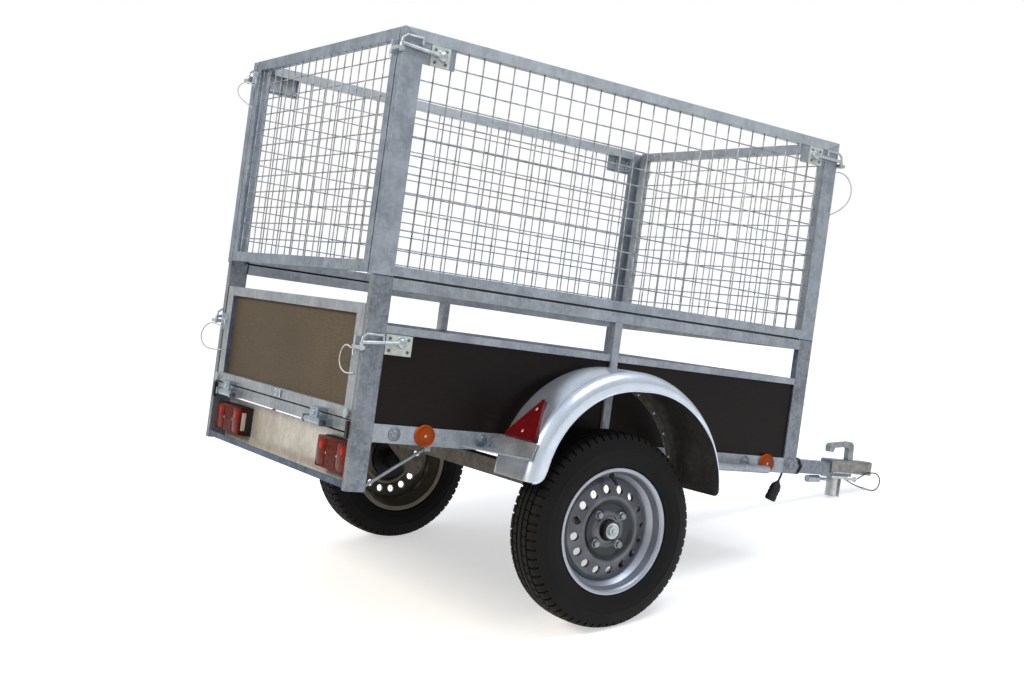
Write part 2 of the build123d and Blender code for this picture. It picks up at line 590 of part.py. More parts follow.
for gate, x in (("rear", REAR_GATE_X), ("front", FRONT_GATE_X)):
    node(f"{gate}_gate_frame", gate_frame(x))
    sheet = mesh_plate((-GATE_HALF + CAGE_RAIL, GATE_HALF - CAGE_RAIL),
                       (GATE_BOTTOM + CAGE_RAIL, CAGE_TOP_RAIL_BOTTOM), -400.0, 983.0)
    plane = Plane(origin=(sum(x) / 2 - MESH_WIRE / 2, 0, 0), x_dir=(0, 1, 0), z_dir=(1, 0, 0))
    node(f"{gate}_gate_mesh", plane * sheet)

pins = []
for x in (REAR_GATE_X, FRONT_GATE_X):
    middle = sum(x) / 2
    pin = rod((middle, -(SIDE - WALL), GATE_PIN_Z), (middle, -(GATE_HALF - 20), GATE_PIN_Z), PIN_RADIUS)
    pins.extend(both(pin))
node("gate_pins", pins)

# ---------------------------------------------------------------- tailgate
TAILGATE_HALF = SIDE - POST_DEPTH - GATE_CLEARANCE
tailgate = block(TAILGATE_X, (-TAILGATE_HALF, TAILGATE_HALF), (TAILGATE_BOTTOM, TAILGATE_TOP))
tailgate -= block((TAILGATE_X[0] - 1, TAILGATE_X[1] + 1),
                  (-TAILGATE_HALF + TAILGATE_STILE, TAILGATE_HALF - TAILGATE_STILE),
                  (TAILGATE_BOTTOM + TAILGATE_BAR, TAILGATE_TOP - TAILGATE_BAR))
tailgate += block((TAILGATE_X[0] - 4, TAILGATE_X[0]), (-31, 14), (519, 541))
buffers = both(rod((TAILGATE_X[0], -478, 530), (-5, -478, 530), 14))
node("tailgate_buffers", buffers)
node("tailgate_panel", block((TAILGATE_X[0] + 16, TAILGATE_X[0] + 16 + 9),
                             (-TAILGATE_HALF + TAILGATE_STILE, TAILGATE_HALF - TAILGATE_STILE),
                             (TAILGATE_BOTTOM + TAILGATE_BAR, TAILGATE_TOP - TAILGATE_BAR)))

HINGE_PIN = 6.0
HINGE_BARREL = 9.5
HINGE_LENGTH = 96.0
HINGE_TAB = (521.0, 527.0)  # plate from the barrel's web to the tailgate's face
hinge_x, hinge_z = TAILGATE_HINGE
leaves = []
lugs = []
for y in (-HINGE_Y, HINGE_Y):
    half = HINGE_LENGTH / 2
    barrel_tube = rod((hinge_x, y - half, hinge_z), (hinge_x, y + half, hinge_z), HINGE_BARREL)
    leaf = barrel_tube + block((hinge_x - 3, hinge_x + 3), (y - 24, y + 24), (hinge_z, HINGE_TAB[1]))
    leaf += block((hinge_x - 3, TAILGATE_X[0]), (y - 24, y + 24), HINGE_TAB)
    leaf -= rod((hinge_x, y - half - 1, hinge_z), (hinge_x, y + half + 1, hinge_z), HINGE_PIN + 0.05)
    leaves.append(leaf)
    lug = rod((hinge_x, y - half - 10, hinge_z), (hinge_x, y + half + 10, hinge_z), HINGE_PIN)
    for side in (-1, 1):
        inner = y + side * (half + 2)
        outer = y + side * (half + 10)
        lug += block((hinge_x - 11, REAR_BAR_X[0]), sorted((inner, outer)), (hinge_z - 10, hinge_z + 11))
    lugs.append(lug)
node("tailgate_hinge_leaves", leaves)
node("hinge_lugs", lugs)

# ---------------------------------------------------------------- latches, keepers and lanyards
ROD_Y = -(SIDE + 8)


def latch(plate_x, plate_z, base, boss, end, toward):
    """Side latch: plate, boss, rod to the corner, loop handle over it and the hook block round the corner."""
    boss_x, boss_z = boss
    end_x, end_z = end
    fitting = block(plate_x, right(base, base + 4), plate_z)
    fitting += rod((boss_x, -base - 4, boss_z), (boss_x, -base - 10, boss_z), 16)
    fitting += rod((boss_x, -base - 4, boss_z), (boss_x, ROD_Y - 7, boss_z), 8)
    fitting += rod((boss_x, ROD_Y, boss_z), (end_x, ROD_Y, end_z), 5)
    fitting += bent_rod([
        (end_x - toward * 64, ROD_Y, end_z + 6),
        (end_x - toward * 62, ROD_Y, end_z + 24),
        (end_x - toward * 14, ROD_Y, end_z + 24),
        (end_x - toward * 2, ROD_Y, end_z + 14),
        (end_x, ROD_Y, end_z),
    ], 3.2)
    fitting += rod((end_x, ROD_Y, end_z), (end_x, ROD_Y, end_z - 22), 5)
    block_x = sorted((end_x + toward * 13, end_x - toward * 8))
    return fitting + block(block_x, (ROD_Y - 6, -(SIDE - 22)), (end_z - 19, end_z - 9))


def keeper(face_x, outer_y, end_z, toward):
    """Eye plate that stands on a gate's stile, with its spring clip."""
    plate = block(sorted((face_x, face_x + toward * 14)), right(outer_y - 11, outer_y - 6), (end_z - 24, end_z + 14))
    clip_x = face_x + toward * 9
    clip_z = end_z - 4
    clip = bent_rod([
        (clip_x, -(outer_y - 8), clip_z),
        (clip_x, -(outer_y - 22), clip_z - 6),
        (clip_x, -(outer_y - 24), clip_z - 16),
        (clip_x, -(outer_y - 18), clip_z - 34),
    ], 1.7)
    return plate + clip


LATCHES = {                 # plate x, plate z, wall's y, boss (x, z), rod end (x, z), toward the corner
    "tailgate": ((66, 146), (697, 752), 515, (110, 731), (-9, 722), -1),
    "rear_gate": ((84, 142), (1470, 1526), 519, (116, 1499), (-10, 1509), -1),
    "front_gate": ((1499, 1557), (1470, 1526), 519, (1522, 1500), (1641, 1499), 1),
}
node("tailgate_latches", both(latch(*LATCHES["tailgate"])))
node("cage_latches", both(latch(*LATCHES["rear_gate"])), both(latch(*LATCHES["front_gate"])))
tailgate += both(keeper(TAILGATE_X[0], TAILGATE_HALF, LATCHES["tailgate"][4][1], -1))
node("tailgate_frame", tailgate)
KEEPER_Z = {"rear": LATCHES["rear_gate"][4][1], "front": LATCHES["front_gate"][4][1]}
for gate, face_x, toward in (("rear", 0.0, -1), ("front", BODY_LENGTH, 1)):
    node(f"{gate}_gate_frame", pieces[f"{gate}_gate_frame"][0] + both(keeper(face_x, GATE_HALF, KEEPER_Z[gate], toward)))

LANYARD = 4.0
LANYARD_ROUTES = {          # points (x, y, z) from the clip to the stile
    "lanyard_tailgate_right": [
        (-7.5, -471, 702), (-9, -450, 711), (-9, -424, 703), (-8, -409, 681), (-8, -411, 656),
        (-7, -430, 639), (-4, -456, 633), (3.4, -481, 637)],
    "lanyard_tailgate_left": [
        (-8, 473, 690), (-22, 490, 699), (-38, 510, 699), (-52, 524, 680), (-56, 529, 650),
        (-46, 520, 622), (-24, 503, 612), (3.4, 485, 616)],
    "lanyard_rear_gate_left": [
        (-13.5, 468, 1476), (-26, 480, 1485), (-42, 497, 1482), (-52, 507, 1462), (-46, 503, 1438),
        (-26, 491, 1420), (-3, 478, 1407)],
    "lanyard_front_gate_right": [
        (1643.5, -468, 1466), (1658, -482, 1474), (1674, -498, 1458), (1681, -508, 1428),
        (1673, -503, 1394), (1655, -491, 1364), (1633, -478, 1340)],
}
for name, route in LANYARD_ROUTES.items():
    node(name, cord(route, LANYARD))

# ---------------------------------------------------------------- plug and safety cable
LEAD = 7.0
PLUG_TOP = (1576.6, -507.5, 434.0)
LEAD_ROUTE = [(1585, -510, GLAND_Z), (1585, -510, 467), (1583.2, -509.5, 455), (1580, -508.5, 444), PLUG_TOP]
node("plug_lead", cord(LEAD_ROUTE, LEAD))
plug_axis = (Vector(PLUG_TOP) - Vector(LEAD_ROUTE[-2])).normalized()
plug_profile = [            # (radius, distance below the lead)
    (0, 0), (6, 0), (8, 8), (14, 20), (18, 30), (18.5, 60), (16, 68), (0, 68)]
plug_plane = Plane(origin=PLUG_TOP, x_dir=(0, 1, 0), z_dir=plug_axis)
plug_face = make_face(Polyline(*[plug_plane.from_local_coords((r, 0, d)) for r, d in plug_profile], close=True))
node("plug", revolve(plug_face, Axis(PLUG_TOP, plug_axis)))

CABLE = 5.0
node("safety_cable", cord(CABLE_ROUTE, CABLE))

# ---------------------------------------------------------------- parked pose
CLAMP_DROP = WHEEL_RADIUS - CLAMP_BOTTOM
REACH = CLAMP_X + CLAMP_RADIUS + 4 - AXLE_X
PITCH = math.degrees(math.asin(WHEEL_RADIUS / math.hypot(REACH, CLAMP_DROP)) - math.atan2(CLAMP_DROP, REACH))


def parked(shape):
    """Turn a level shape nose down about the axle."""
    return Pos(AXLE_X, 0, WHEEL_RADIUS) * Rot(0, PITCH, 0) * Pos(-AXLE_X, 0, -WHEEL_RADIUS) * shape


print("pitch", round(PITCH, 3), "nodes", len(pieces))
posed = {name: [parked(solid) for solid in solids] for name, solids in pieces.items()}
boxes = [Compound(children=solids).bounding_box() for solids in posed.values()]
middle_x = (min(box.min.X for box in boxes) + max(box.max.X for box in boxes)) / 2
for name, solids in posed.items():
    placed = [Pos(-middle_x, 0, 0) * solid for solid in solids]
    export_step(Compound(label=name, children=placed), f"parts/{name}.step")
print("shift", round(middle_x, 3))
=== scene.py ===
import json
import math

import bmesh
import bpy
from mathutils import Matrix, Vector


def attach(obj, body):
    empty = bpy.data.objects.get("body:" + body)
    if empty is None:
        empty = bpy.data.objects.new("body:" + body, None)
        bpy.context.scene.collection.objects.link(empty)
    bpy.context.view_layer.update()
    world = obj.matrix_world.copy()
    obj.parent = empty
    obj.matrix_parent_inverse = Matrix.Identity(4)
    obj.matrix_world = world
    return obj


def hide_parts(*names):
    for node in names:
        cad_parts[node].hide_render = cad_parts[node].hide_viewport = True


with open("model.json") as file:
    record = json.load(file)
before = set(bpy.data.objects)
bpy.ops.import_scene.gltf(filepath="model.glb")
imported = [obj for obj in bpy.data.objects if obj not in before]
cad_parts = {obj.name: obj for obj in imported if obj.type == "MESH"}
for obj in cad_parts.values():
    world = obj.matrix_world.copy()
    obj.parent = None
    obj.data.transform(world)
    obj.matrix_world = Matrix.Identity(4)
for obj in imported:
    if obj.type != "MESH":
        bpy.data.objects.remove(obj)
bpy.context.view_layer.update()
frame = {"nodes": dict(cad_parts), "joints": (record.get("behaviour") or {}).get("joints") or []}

# ---------------- parking stance
# The trailer is drawn level, in millimetres: x forward from the rear posts, y left, z up from the ground.
# It then stands nose down about its axle, on the two tyres and the front edge of the jockey-wheel clamp.
NOSE_DOWN = math.radians(11.554)
AXLE = Vector((770.0, 0.0, 281.0))
axle_x = next(joint["pos_m"][0] for joint in frame["joints"] if joint["name"] == "wheel_right_spin")
STANCE = (Matrix.Translation((axle_x, 0, AXLE.z / 1000)) @ Matrix.Rotation(NOSE_DOWN, 4, "Y")
          @ Matrix.Scale(0.001, 4) @ Matrix.Translation(-AXLE))

# ---------------- camera
# A normal lens from behind the right rear wheel, at chest height, rolled by a few degrees.
CAMERA_PLACE = Vector((-1577.96, -3629.03, 805.42))         # level, in millimetres
HEADING, DIP, ROLL = (math.radians(a) for a in (56.75, 0.48, 7.76))
look = Vector((math.cos(HEADING) * math.cos(DIP), math.sin(HEADING) * math.cos(DIP), -math.sin(DIP)))
flat_right = look.cross(Vector((0, 0, 1))).normalized()
flat_up = flat_right.cross(look)
camera_right = math.cos(ROLL) * flat_right + math.sin(ROLL) * flat_up
camera_up = math.cos(ROLL) * flat_up - math.sin(ROLL) * flat_right
camera_data = bpy.data.cameras.new("camera")
camera_data.lens = 46.59                                   # millimetres
camera_data.sensor_width = 36.0
camera = bpy.data.objects.new("camera", camera_data)
bpy.context.scene.collection.objects.link(camera)
turn = Matrix((camera_right, camera_up, -look)).transposed()
camera.matrix_world = (Matrix.Translation(STANCE @ CAMERA_PLACE)
                       @ (Matrix.Rotation(NOSE_DOWN, 3, "Y") @ turn).to_4x4())
bpy.context.scene.camera = camera
bpy.context.scene.view_settings.view_transform = "Standard"


# ---------------- studio floor and light
# A plain white floor that keeps the trailer's shadow, a white surround, and soft lamps:
# a warm one from behind the tailgate, as low sun, and a broad one overhead.
def linear(hex_colour):
    """sRGB hex to the linear colour that the shaders want."""
    channels = [int(hex_colour[i:i + 2], 16) / 255 for i in (1, 3, 5)]
    return tuple(c / 12.92 if c <= 0.04045 else ((c + 0.055) / 1.055) ** 2.4 for c in channels) + (1.0,)


def add(material, kind, inputs=None, **settings):
    """Adds a node: an input that is a socket is linked, any other is set."""
    node = material.node_tree.nodes.new(kind)
    for setting, value in settings.items():
        setattr(node, setting, value)
    for socket, value in (inputs or {}).items():
        if isinstance(value, bpy.types.NodeSocket):
            material.node_tree.links.new(value, node.inputs[socket])
        else:
            node.inputs[socket].default_value = value
    return node


def finish_of(name, metallic, roughness, ior=None):
    """An empty finish: its shader, and the object coordinates that its patterns read."""
    material = bpy.data.materials.new(name)
    material.use_nodes = True
    shader = material.node_tree.nodes["Principled BSDF"]
    shader.inputs["Metallic"].default_value = metallic
    shader.inputs["Roughness"].default_value = roughness
    if ior:
        shader.inputs["IOR"].default_value = ior
    place = add(material, "ShaderNodeTexCoord").outputs["Object"]
    return material, shader, place


def wire(material, target, sources):
    """Links each source to the named input of one node."""
    for socket, source in sources.items():
        material.node_tree.links.new(source, target.inputs[socket])


bm = bmesh.new()
bmesh.ops.create_grid(bm, x_segments=1, y_segments=1, size=30.0)
floor_mesh = bpy.data.meshes.new("floor")
bm.to_mesh(floor_mesh)
bm.free()
floor = bpy.data.objects.new("floor", floor_mesh)
bpy.context.scene.collection.objects.link(floor)
floor_paint, shader, _ = finish_of("floor_paint", 0.0, 0.9)
shader.inputs["Specular IOR Level"].default_value = 0.1
rays = add(floor_paint, "ShaderNodeLightPath")
shown = add(floor_paint, "ShaderNodeMath",
            {0: rays.outputs["Is Camera Ray"], 1: rays.outputs["Is Glossy Ray"]}, operation="MAXIMUM")
shown = add(floor_paint, "ShaderNodeMath", {0: shown.outputs[0], 1: rays.outputs["Is Transmission Ray"]},
            operation="MAXIMUM")
paint = add(floor_paint, "ShaderNodeMix", {0: shown.outputs[0], 6: linear("#8d8a84"), 7: linear("#f4f4f4")},
            data_type="RGBA")
wire(floor_paint, shader, {"Base Color": paint.outputs[2]})
glow = add(floor_paint, "ShaderNodeEmission", {"Color": (1, 1, 1, 1), "Strength": 0.52})
dark = add(floor_paint, "ShaderNodeEmission", {"Color": (0, 0, 0, 1), "Strength": 0.0})
seen = add(floor_paint, "ShaderNodeMixShader", {0: shown.outputs[0], 1: dark.outputs[0], 2: glow.outputs[0]})
both_shaders = add(floor_paint, "ShaderNodeAddShader", {0: shader.outputs[0], 1: seen.outputs[0]})
wire(floor_paint, floor_paint.node_tree.nodes["Material Output"], {"Surface": both_shaders.outputs[0]})
floor_mesh.materials.append(floor_paint)

world = bpy.data.worlds.new("surround")
bpy.context.scene.world = world
world.use_nodes = True
surround = world.node_tree.nodes["Background"]
rays = add(world, "ShaderNodeLightPath")
shown = add(world, "ShaderNodeMath",
            {0: rays.outputs["Is Camera Ray"], 1: rays.outputs["Is Transmission Ray"]}, operation="MAXIMUM")
height = add(world, "ShaderNodeSeparateXYZ", {0: add(world, "ShaderNodeTexCoord").outputs["Generated"]})
climb = add(world, "ShaderNodeMapRange", {"Value": height.outputs[2], "From Min": -0.1, "From Max": 0.7})
sky = add(world, "ShaderNodeMix", {0: climb.outputs[0], 6: linear("#dad7d2"), 7: linear("#f0f6ff")},
          data_type="RGBA")
tint = add(world, "ShaderNodeMix", {0: shown.outputs[0], 6: sky.outputs[2], 7: (1, 1, 1, 1)}, data_type="RGBA")
seen = add(world, "ShaderNodeMath", {0: shown.outputs[0], 1: rays.outputs["Is Glossy Ray"]},
           operation="MAXIMUM")
level = add(world, "ShaderNodeMapRange", {"Value": seen.outputs[0], "To Min": 0.62, "To Max": 1.0})
wire(world, surround, {"Color": tint.outputs[2], "Strength": level.outputs[0]})

for name, place, aim, size, power, tint in (
        ("low_sun", (-4.4, -0.6, 3.2), (-0.4, 0, 0.8), 1.2, 120.0, "#fff0d8"),
        ("overhead", (0.6, -2.0, 4.6), (0, 0, 0.6), 2.4, 120.0, "#eef3ff")):
    lamp = bpy.data.lights.new(name, "AREA")
    lamp.size = size
    lamp.energy = power
    lamp.color = linear(tint)[:3]
    stand = bpy.data.objects.new(name, lamp)
    bpy.context.scene.collection.objects.link(stand)
    stand.location = place
    stand.rotation_euler = (Vector(aim) - Vector(place)).to_track_quat("-Z", "Y").to_euler()


# ---------------- box frame
# Sills, corner posts, rails and cross bars are welded section steel, hot-dip galvanised after welding.
# The zinc gives a pale grey-blue spangle of about 10 mm, cloudy dull patches and a fine orange peel.
def galvanised(name, pale, dull, spangle=9.0, roughness=0.4, metallic=0.55, flecks=0.16):
    """Hot-dip zinc: crystals of the spangle's size in millimetres, cloudy patches, runs and orange peel."""
    material, shader, place = finish_of(name, metallic, roughness)
    crystals = add(material, "ShaderNodeTexVoronoi", {"Vector": place, "Scale": 1000 / spangle,
                                                      "Randomness": 1.0})
    tone = add(material, "ShaderNodeSeparateColor", {"Color": crystals.outputs["Color"]})
    clouds = add(material, "ShaderNodeTexNoise", {"Vector": place, "Scale": 1000 / 85, "Detail": 6.0,
                                                  "Roughness": 0.62})
    drawn = add(material, "ShaderNodeMapping", {"Vector": place, "Scale": (1.0, 1.0, 0.3)})
    runs = add(material, "ShaderNodeTexNoise", {"Vector": drawn.outputs[0], "Scale": 1000 / 18, "Detail": 5.0})
    peel = add(material, "ShaderNodeTexNoise", {"Vector": place, "Scale": 1000 / 4, "Detail": 3.0})
    fleck = add(material, "ShaderNodeMath", {0: tone.outputs[0], 1: flecks}, operation="MULTIPLY")
    mixed = add(material, "ShaderNodeMath", {0: clouds.outputs["Fac"], 1: fleck.outputs[0]}, operation="ADD")
    mixed = add(material, "ShaderNodeMath", {0: runs.outputs["Fac"], 1: 0.35, 2: mixed.outputs[0]},
                operation="MULTIPLY_ADD")
    amount = add(material, "ShaderNodeMapRange", {"Value": mixed.outputs[0], "From Min": 0.56,
                                                  "From Max": 0.98})
    colour = add(material, "ShaderNodeMix", {0: amount.outputs[0], 6: linear(dull), 7: linear(pale)},
                 data_type="RGBA")
    rough = add(material, "ShaderNodeMapRange", {"Value": tone.outputs[1], "To Min": roughness - 0.05,
                                                 "To Max": roughness + 0.08})
    edge = add(material, "ShaderNodeBevel", {"Radius": 0.002}, samples=4)
    bump = add(material, "ShaderNodeBump", {"Height": peel.outputs["Fac"], "Strength": 0.2, "Distance": 0.0006,
                                            "Normal": edge.outputs[0]})
    wire(material, shader, {"Base Color": colour.outputs[2], "Roughness": rough.outputs[0],
                            "Normal": bump.outputs[0]})
    return material


def dress(finish, *names):
    """Gives drawn parts their finish."""
    for name in names:
        for place in frame["nodes"][name].material_slots:
            place.material = finish


def redress(name, finish, chosen):
    """Another finish for the faces chosen by their centre (level, in millimetres) and their normal."""
    mesh = frame["nodes"][name].data
    mesh.materials.append(finish)
    for face in mesh.polygons:
        if chosen(STANCE.inverted() @ face.center, face.normal):
            face.material_index = len(mesh.materials) - 1


frame_zinc = galvanised("frame_zinc", "#a9afb6", "#858c93")
dress(frame_zinc, "sills", "cross_bars", "mid_posts", "upper_rails", "wall_rails", "diagonal_stays",
      "fender_brackets")
post_zinc = galvanised("post_zinc", "#898f96", "#666d74", flecks=0.3)
dress(post_zinc, "corner_posts")
# painted shade: a darker blue copy of the zinc for faces that stand in shade
painted_shade_zinc = galvanised("painted_shade_zinc", "#76859a", "#525f75", metallic=0.5)
redress("corner_posts", painted_shade_zinc, lambda at, normal: at.x > 1500 and normal.x < -0.9)     # painted shade on the rear faces of the front pair


# ---------------- frame bolts
# Dull galvanised coach bolts with broad domed washers hold the sills, posts and drawbar together.
# Their heads stand nearly 10 mm proud of the steel.
def piece_from(bm, name, body, finishes, stands_for=(), crease=32.0):
    """Parks a level drawing in millimetres and lets it ride on its body."""
    bmesh.ops.remove_doubles(bm, verts=bm.verts, dist=0.004)
    bmesh.ops.recalc_face_normals(bm, faces=bm.faces)
    bmesh.ops.transform(bm, matrix=STANCE, verts=bm.verts)
    mesh = bpy.data.meshes.new(name)
    bm.to_mesh(mesh)
    bm.free()
    for finish in finishes:
        mesh.materials.append(finish)
    mesh.polygons.foreach_set("use_smooth", [True] * len(mesh.polygons))
    mesh.set_sharp_from_angle(angle=math.radians(crease))
    piece = bpy.data.objects.new(name, mesh)
    bpy.context.scene.collection.objects.link(piece)
    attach(piece, body)
    if stands_for:
        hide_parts(*stands_for)
    return piece


def turned(bm, profile, centre, axis, steps, finish=0):
    """Spins a (radius, height) profile about an axis through the centre, as on a lathe."""
    axis = Vector(axis).normalized()
    out = axis.orthogonal().normalized()
    verts = [bm.verts.new(Vector(centre) + out * r + axis * h) for r, h in profile]
    edges = [bm.edges.new(pair) for pair in zip(verts, verts[1:])]
    old = set(bm.faces)
    bmesh.ops.spin(bm, geom=verts + edges, cent=centre, axis=axis, angle=math.tau, steps=steps, use_merge=True)
    for face in bm.faces:
        if face not in old:
            face.material_index = finish


def mirrored(bm):
    """Adds the left-hand twin of a right-hand drawing."""
    twin = bmesh.ops.duplicate(bm, geom=bm.verts[:] + bm.edges[:] + bm.faces[:])["geom"]
    verts = [part for part in twin if isinstance(part, bmesh.types.BMVert)]
    bmesh.ops.scale(bm, vec=(1, -1, 1), verts=verts)


BOLT_CAP = [(17.5, -0.4), (17.5, 0), (17.5, 1.4), (16.4, 2.2), (12.2, 2.6), (12, 3.4), (11, 6.0), (8, 8.2),
            (4, 9.3), (0, 9.6)]
# painted shade: a thin dark ring under each cap stands for the shade round its foot
SHADE_RING = [(16, -0.4), (19.0, -0.4), (19.0, 0.7), (16, 0.7)]
SIDE_FACE, FRONT_FACE = -521, 1630      # y of the box's right face, x of its front face
bm = bmesh.new()
for x, z in ((127, 488), (402, 491), (1403, 491), (1601, 496)):
    turned(bm, BOLT_CAP, (x, SIDE_FACE, z), (0, -1, 0), 28)
    turned(bm, SHADE_RING, (x, SIDE_FACE, z), (0, -1, 0), 28, finish=1)
for y, z in ((-502, 490), (-470, 488), (-150, 488)):
    turned(bm, BOLT_CAP, (FRONT_FACE, y, z), (1, 0, 0), 28)
mirrored(bm)
shade_ring_zinc = galvanised("shade_ring_zinc", "#737a81", "#555c63", roughness=0.55)
piece_from(bm, "frame_bolts", "trailer", [post_zinc, shade_ring_zinc])


# ---------------- plywood walls and floor
# Birch plywood with a dark brown phenolic film: a faint sheen, a fine roller mark and rubbed patches.
# The tailgate's board faces the low sun: its paler khaki brown is painted warm sunlight on the same film.
def film_faced(name, film, rubbed, roughness=0.34):
    """Film-faced plywood: a roller mark of 1.6 mm, long rubbed streaks and soft cloudy wear."""
    material, shader, place = finish_of(name, 0.0, roughness, 1.42)
    shader.inputs["Specular IOR Level"].default_value = 0.18
    streaks = add(material, "ShaderNodeMapping", {"Vector": place, "Scale": (4.0, 4.0, 30.0)})
    grain = add(material, "ShaderNodeTexNoise", {"Vector": streaks.outputs[0], "Scale": 12.0, "Detail": 6.0})
    clouds = add(material, "ShaderNodeTexNoise", {"Vector": place, "Scale": 1000 / 260, "Detail": 4.0})
    weave = add(material, "ShaderNodeTexNoise", {"Vector": place, "Scale": 1000 / 1.6, "Detail": 1.0})
    amount = add(material, "ShaderNodeMath", {0: grain.outputs["Fac"], 1: clouds.outputs["Fac"]},
                 operation="MULTIPLY")
    spread = add(material, "ShaderNodeMapRange", {"Value": amount.outputs[0], "From Min": 0.14,
                                                  "From Max": 0.42})
    colour = add(material, "ShaderNodeMix", {0: spread.outputs[0], 6: linear(film), 7: linear(rubbed)},
                 data_type="RGBA")
    rough = add(material, "ShaderNodeMapRange", {"Value": clouds.outputs["Fac"], "To Min": roughness,
                                                 "To Max": roughness + 0.18})
    bump = add(material, "ShaderNodeBump", {"Height": weave.outputs["Fac"], "Strength": 0.12,
                                            "Distance": 0.0003})
    wire(material, shader, {"Base Color": colour.outputs[2], "Roughness": rough.outputs[0],
                            "Normal": bump.outputs[0]})
    return material


dress(film_faced("brown_film", "#140f0c", "#1e1814"), "wall_panels", "floor_panel")
# painted light: the tailgate's board takes a paler khaki copy of the film, for the low sun on it
dress(film_faced("sunlit_film", "#4b4336", "#5d5344", 0.42), "tailgate_panel")


# ---------------- axle and arms
# Square rubber-torsion axle: bolted saddles carry it under the box, and short arms trail down to the hubs.
# Its zinc is older than the frame's, rough and dusty with brown road dirt.
road_zinc = galvanised("road_zinc", "#8d8578", "#5f594f", spangle=12.0, roughness=0.55, metallic=0.35)
dress(road_zinc, "axle_beam", "axle_brackets", "swing_arms")


# ---------------- tyres
# Small radial road tyres: a buffed bead line, a bulged side wall with two fine rings, a rounded shoulder with
# cut lugs, and five tread ribs between straight water grooves. Moulded rubber with a little cloudy dust.
def moulded_black(name, base, dust, roughness, grain):
    """Moulded black PVC or rubber: soft sheen, a fine pebble of about 1 to 2 mm and a little dust."""
    material, shader, place = finish_of(name, 0.0, roughness, 1.5)
    shader.inputs["Specular IOR Level"].default_value = 0.3
    clouds = add(material, "ShaderNodeTexNoise", {"Vector": place, "Scale": 1000 / 70, "Detail": 4.0})
    pebble = add(material, "ShaderNodeTexNoise", {"Vector": place, "Scale": 1000 / grain, "Detail": 2.0})
    amount = add(material, "ShaderNodeMapRange", {"Value": clouds.outputs["Fac"], "From Min": 0.42,
                                                  "From Max": 0.75})
    colour = add(material, "ShaderNodeMix", {0: amount.outputs[0], 6: linear(base), 7: linear(dust)},
                 data_type="RGBA")
    rough = add(material, "ShaderNodeMapRange", {"Value": clouds.outputs["Fac"], "To Min": roughness - 0.08,
                                                 "To Max": roughness + 0.15})
    bump = add(material, "ShaderNodeBump", {"Height": pebble.outputs["Fac"], "Strength": 0.25,
                                            "Distance": 0.0004})
    wire(material, shader, {"Base Color": colour.outputs[2], "Roughness": rough.outputs[0],
                            "Normal": bump.outputs[0]})
    return material


TREAD_MIDDLE = 638.5                    # from the trailer's middle plane
TYRE_HALF = [               # (radius, distance from the middle of the tread), from the bead to the crown
    (174, 54), (180.5, 56.5), (183.5, 60.5), (185.0, 65.0), (187.5, 67.2), (190.0, 66.6), (194.0, 67.6),
    (203.0, 70.9), (212.0, 72.3), (220.0, 72.5), (229.0, 71.9), (230.5, 72.4), (233.5, 72.1), (235.0, 70.9),
    (243.0, 69.2), (251.0, 66.6), (258.0, 63.8), (264.0, 61.0), (269.0, 58.4), (273.5, 55.0), (276.6, 50.6),
    (278.6, 44.0), (279.7, 37.0), (272.8, 36.0), (272.8, 31.4), (280.1, 30.4), (280.9, 21.0), (281.0, 14.4),
    (273.4, 13.4), (273.4, 8.2), (281.0, 7.2), (281.0, 0.0)]
TREAD_PITCHES, STEPS_PER_PITCH = 66, 4
SHOULDER_CUT, RIB_CUT = 4.6, 3.0        # depths
SHOULDER_BAND, RIB_BAND = (37, 62), (15, 30)            # distances from the middle of the tread
SHOULDER_FROM, RIB_FROM = 262, 279      # radii that the cuts begin at

tyre_rubber = moulded_black("tyre_rubber", "#070707", "#15120f", roughness=0.68, grain=1.6)
tyre_rubber.node_tree.nodes["Principled BSDF"].inputs["Specular IOR Level"].default_value = 0.2
for body, side in (("wheel_right", -1), ("wheel_left", 1)):
    bm = bmesh.new()
    outline = (TYRE_HALF + [(r, -half) for r, half in reversed(TYRE_HALF[:-1])]
               + [(170, -48), (170, 48), (174, 54)])
    centre = Vector((AXLE.x, side * TREAD_MIDDLE, AXLE.z))
    turned(bm, outline, centre, (0, side, 0), TREAD_PITCHES * STEPS_PER_PITCH)
    bmesh.ops.remove_doubles(bm, verts=bm.verts, dist=0.004)
    bmesh.ops.recalc_face_normals(bm, faces=bm.faces)
    shoulder_cuts, rib_cuts = [], []
    for face in bm.faces:
        spot = face.calc_center_median() - centre
        half = abs(spot.y)
        radius = math.hypot(spot.x, spot.z)
        step = int(math.atan2(spot.z, spot.x) / math.tau * TREAD_PITCHES * STEPS_PER_PITCH) % STEPS_PER_PITCH
        on_shoulder = radius > SHOULDER_FROM and SHOULDER_BAND[0] < half < SHOULDER_BAND[1]
        on_rib = radius > RIB_FROM and RIB_BAND[0] < half < RIB_BAND[1]
        if on_shoulder and step == (0 if spot.y > 0 else 2):
            shoulder_cuts.append(face)
        elif on_rib and step == 1:
            rib_cuts.append(face)
    bmesh.ops.inset_region(bm, faces=shoulder_cuts, thickness=0.9, depth=-SHOULDER_CUT, use_even_offset=True)
    bmesh.ops.inset_region(bm, faces=rib_cuts, thickness=2.2, depth=-RIB_CUT, use_even_offset=True)
    name = "tyre" + body[5:]
    piece_from(bm, name + "_tread", body, [tyre_rubber], [name], crease=28.0)


